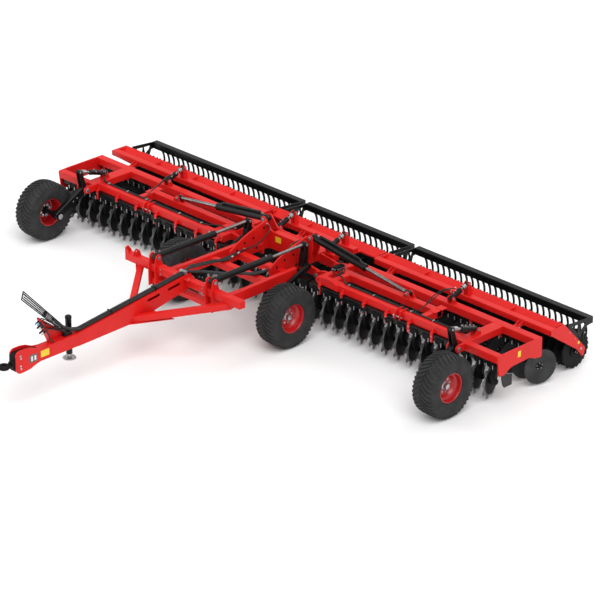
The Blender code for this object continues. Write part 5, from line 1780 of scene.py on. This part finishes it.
        ring = Shape()
        ring.turned([(0.105, -0.009), (0.27, -0.009), (0.30, 0.0), (0.27, 0.009), (0.105, 0.009)], IDENTITY,
                    teeth * 4, False, edge)
        mesh = ring.mesh("ring")
        for number in range(count + 1):
            z = low + 0.045 + (high - low - 0.09) * number / count
            black.stamp(mesh, seat @ Matrix.Translation((0, 0, z)) @ Matrix.Rotation(0.07 * number, 4, "Z"))
        for z, way in ((low, -1), (high, 1)):
            facing = Matrix.Rotation(math.pi, 4, "X") if way < 0 else IDENTITY
            face = seat @ Matrix.Translation((0, 0, z)) @ facing
            for spot in round_places(5, 0.038, -0.001):
                bright.stamp(self.stock.bolt, face @ spot @ Matrix.Scale(0.010, 4))
        body = f"{self.section}_roller"
        self.put(black, f"{body}_rings", Finish.CAST_BLACK, body, body)
        self.put(bright, f"{body}_bolts", Finish.ZINC, body)

    def build(self) -> None:
        """Build the section."""
        self.carrier()
        self.rack()
        self.roller()


# --- studio -------------------------------------------------------------------------------------------
@dataclass
class Studio:
    """The camera, the lights and the pale floor."""

    stock: Stock
    eye: Point = (31.531, -28.610, 20.514)
    tilt: float = 64.93
    heading: float = 45.62
    lens: float = 191.68
    sensor: float = 36.0
    key_way: Point = (9.0, -6.0, 15.0)
    key_power: float = 1.9
    key_spread: float = math.radians(50)
    sky: float = 0.66
    lamp_aim: Point = (0.0, 0.0, 0.5)
    lamp_power: float = 500.0

    def camera(self) -> None:
        """Set the camera up."""
        made = bpy.data.cameras.new("camera")
        made.lens, made.sensor_width = self.lens, self.sensor
        made.clip_end = 200.0
        holder = bpy.data.objects.new("camera", made)
        holder.location = self.eye
        holder.rotation_euler = (math.radians(self.tilt), 0.0, math.radians(self.heading))
        bpy.context.scene.collection.objects.link(holder)
        bpy.context.scene.camera = holder

    def lamp(self, name: str, at: Point, size: float) -> None:
        """Hang one soft lamp.

        Args:
            name: The lamp's name.
            at: Where it hangs.
            size: The side of its square face.
        """
        light = bpy.data.lights.new(name, "AREA")
        light.shape, light.size, light.energy = "SQUARE", size, self.lamp_power
        holder = bpy.data.objects.new(name, light)
        holder.matrix_world = towards(Vector(at) - Vector(self.lamp_aim), at)
        bpy.context.scene.collection.objects.link(holder)

    def floor(self) -> None:
        """Lay the floor."""
        shape = Shape()
        outline = arc((0.0, 0.0), 60.0, 0, 354, 59)
        shape.sheet("Z", -0.026, 0.05, outline, bevel=0.001)
        mesh = shape.mesh("floor")
        mesh.materials.append(self.stock.materials[Finish.FLOOR])
        floor = bpy.data.objects.new("floor", mesh)
        bpy.context.scene.collection.objects.link(floor)

    def build(self) -> None:
        """Set the studio up."""
        self.camera()
        self.floor()
        world = bpy.data.worlds.new("studio")
        world.use_nodes = True
        sky = world.node_tree.nodes["Background"]
        sky.inputs["Color"].default_value = (1.0, 1.0, 1.0, 1.0)
        sky.inputs["Strength"].default_value = self.sky
        bpy.context.scene.world = world
        key = bpy.data.lights.new("key", "SUN")
        key.energy, key.angle = self.key_power, self.key_spread
        holder = bpy.data.objects.new("key", key)
        holder.matrix_world = towards(self.key_way, self.key_way)
        bpy.context.scene.collection.objects.link(holder)
        self.lamp("fill", (-12.0, -9.0, 9.0), 8.0)
        self.lamp("rim", (2.0, 13.0, 9.0), 7.0)
        bpy.context.scene.view_settings.view_transform = "Standard"


# --- the whole machine --------------------------------------------------------------------------------
DISC_PITCH = 0.25
FRONT_ROW_END_X, REAR_ROW_END_X = 4.475, 4.64
ROW_OUTER_END = 4.7095


def row_xs(end_x: float, first: int, last: int) -> tuple[float, ...]:
    """The disc places from one number to another, counted from the right-hand end."""
    return tuple(end_x - DISC_PITCH * i for i in range(first, last + 1))


def disc_rows(stock: Stock, discs: DiscSet) -> list[DiscRow]:
    """The six rows of discs.

    Args:
        stock: The materials and the hardware.
        discs: The meshes of the discs.

    Returns:
        The rows.
    """
    front = {"kind": Blade.NOTCHED, "carrier_y": 0.77, "hub_y": 0.83, "turn": 1}
    rear = {"kind": Blade.PLAIN, "carrier_y": 1.57, "hub_y": 1.67, "turn": -1}
    rows = (("centre_front_discs", "chassis", (-0.80, 0.845), (15, 21), front, 0.0),
            ("right_front_discs", "right_wing", (0.895, ROW_OUTER_END), (0, 14), front, 4.68),
            ("left_front_discs", "left_wing", (-ROW_OUTER_END, -0.90), (22, 36), front, -4.68),
            ("centre_rear_discs", "chassis", (-0.74, 0.74), (16, 21), rear, 0.0),
            ("right_rear_discs", "right_wing", (0.78, ROW_OUTER_END), (0, 15), rear, 0.0),
            ("left_rear_discs", "left_wing", (-ROW_OUTER_END, -0.78), (22, 36), rear, 0.0))
    made = []
    for name, body, ends, numbers, layout, guard in rows:
        end_x = FRONT_ROW_END_X if layout is front else REAR_ROW_END_X
        made.append(DiscRow(stock, discs=discs, row=name, body=body, ends=ends, xs=row_xs(end_x, *numbers),
                            guard_x=guard, **layout))
    return made


def depth_cylinder(stock: Stock, side: int, label: str, x: float, suffix: str = "") -> Cylinder:
    """A depth cylinder of a roller section, at its place along the rear beam."""
    return Cylinder(stock, side, label, (x, *DEPTH_BASE), (x, *DEPTH_EYE), 0.21, 0.040, 0.020, eye_wide=0.056,
                    spacers=2, suffix=suffix)


def side_assemblies(stock: Stock, side: int) -> list[Assembly]:
    """What a side of the machine holds.

    Args:
        stock: The materials and the hardware.
        side: 1 for the right side, -1 for the left one.

    Returns:
        The assemblies.
    """
    name = "right" if side > 0 else "left"
    fold = Cylinder(stock, side, f"{name}_fold", (FOLD_BASE[0], FOLD_Y, FOLD_BASE[1]),
                    (FOLD_EYE[0], FOLD_Y, FOLD_EYE[1]), 1.11, 0.056, 0.028, BACK, 0.070, pipe=True,
                    pipe_share=0.38)
    lift = Cylinder(stock, side, f"{name}_lift", (LIFT_X, *LIFT_BASE), (LIFT_X, *LIFT_EYE), 1.20, 0.050,
                    0.025, eye_wide=0.058)
    gauge = Cylinder(stock, side, f"{name}_gauge", (GAUGE_X, *GAUGE_BASE), (GAUGE_X, *GAUGE_EYE), 0.33, 0.040,
                     0.020, eye_wide=0.056, spacers=3)
    depth = depth_cylinder(stock, side, f"{name}_depth", WING_DEPTH_X)
    section = RollerSection(stock, side, name, (1.195, 4.73), WING_BRACKET_XS, (WING_DEPTH_X,))
    return [WingFrame(stock, side), LiftArm(stock, side), GaugeArm(stock, side), Wheel(stock, side),
            Wheel(stock, side, Place.OUTER, 4.313), fold, lift, gauge, depth, section]


def main() -> None:
    """Build the scene."""
    logging.basicConfig(level=logging.INFO, format="%(name)s %(message)s")
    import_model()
    low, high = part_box("right_inner_tyre")
    stock = Stock((low[1] + high[1]) / 2)
    Studio(stock).build()
    drawbar = Drawbar(stock)
    discs = DiscSet(stock)
    discs.build()
    parts: list[Assembly] = [drawbar, TowHitch(stock), HoseRack(stock), HoseBundle(stock, drawbar=drawbar),
                             Jack(stock), CentreFrame(stock), RollerSection(stock, front_half=0.76)]
    for way, x in (("left", -CENTRE_DEPTH_X), ("right", CENTRE_DEPTH_X)):
        parts.append(depth_cylinder(stock, 1, "centre_depth", x, f"_{way}"))
    parts += disc_rows(stock, discs)
    for side in (-1, 1):
        parts += side_assemblies(stock, side)
    for part in parts:
        part.build()


if __name__ == "__main__":
    main()
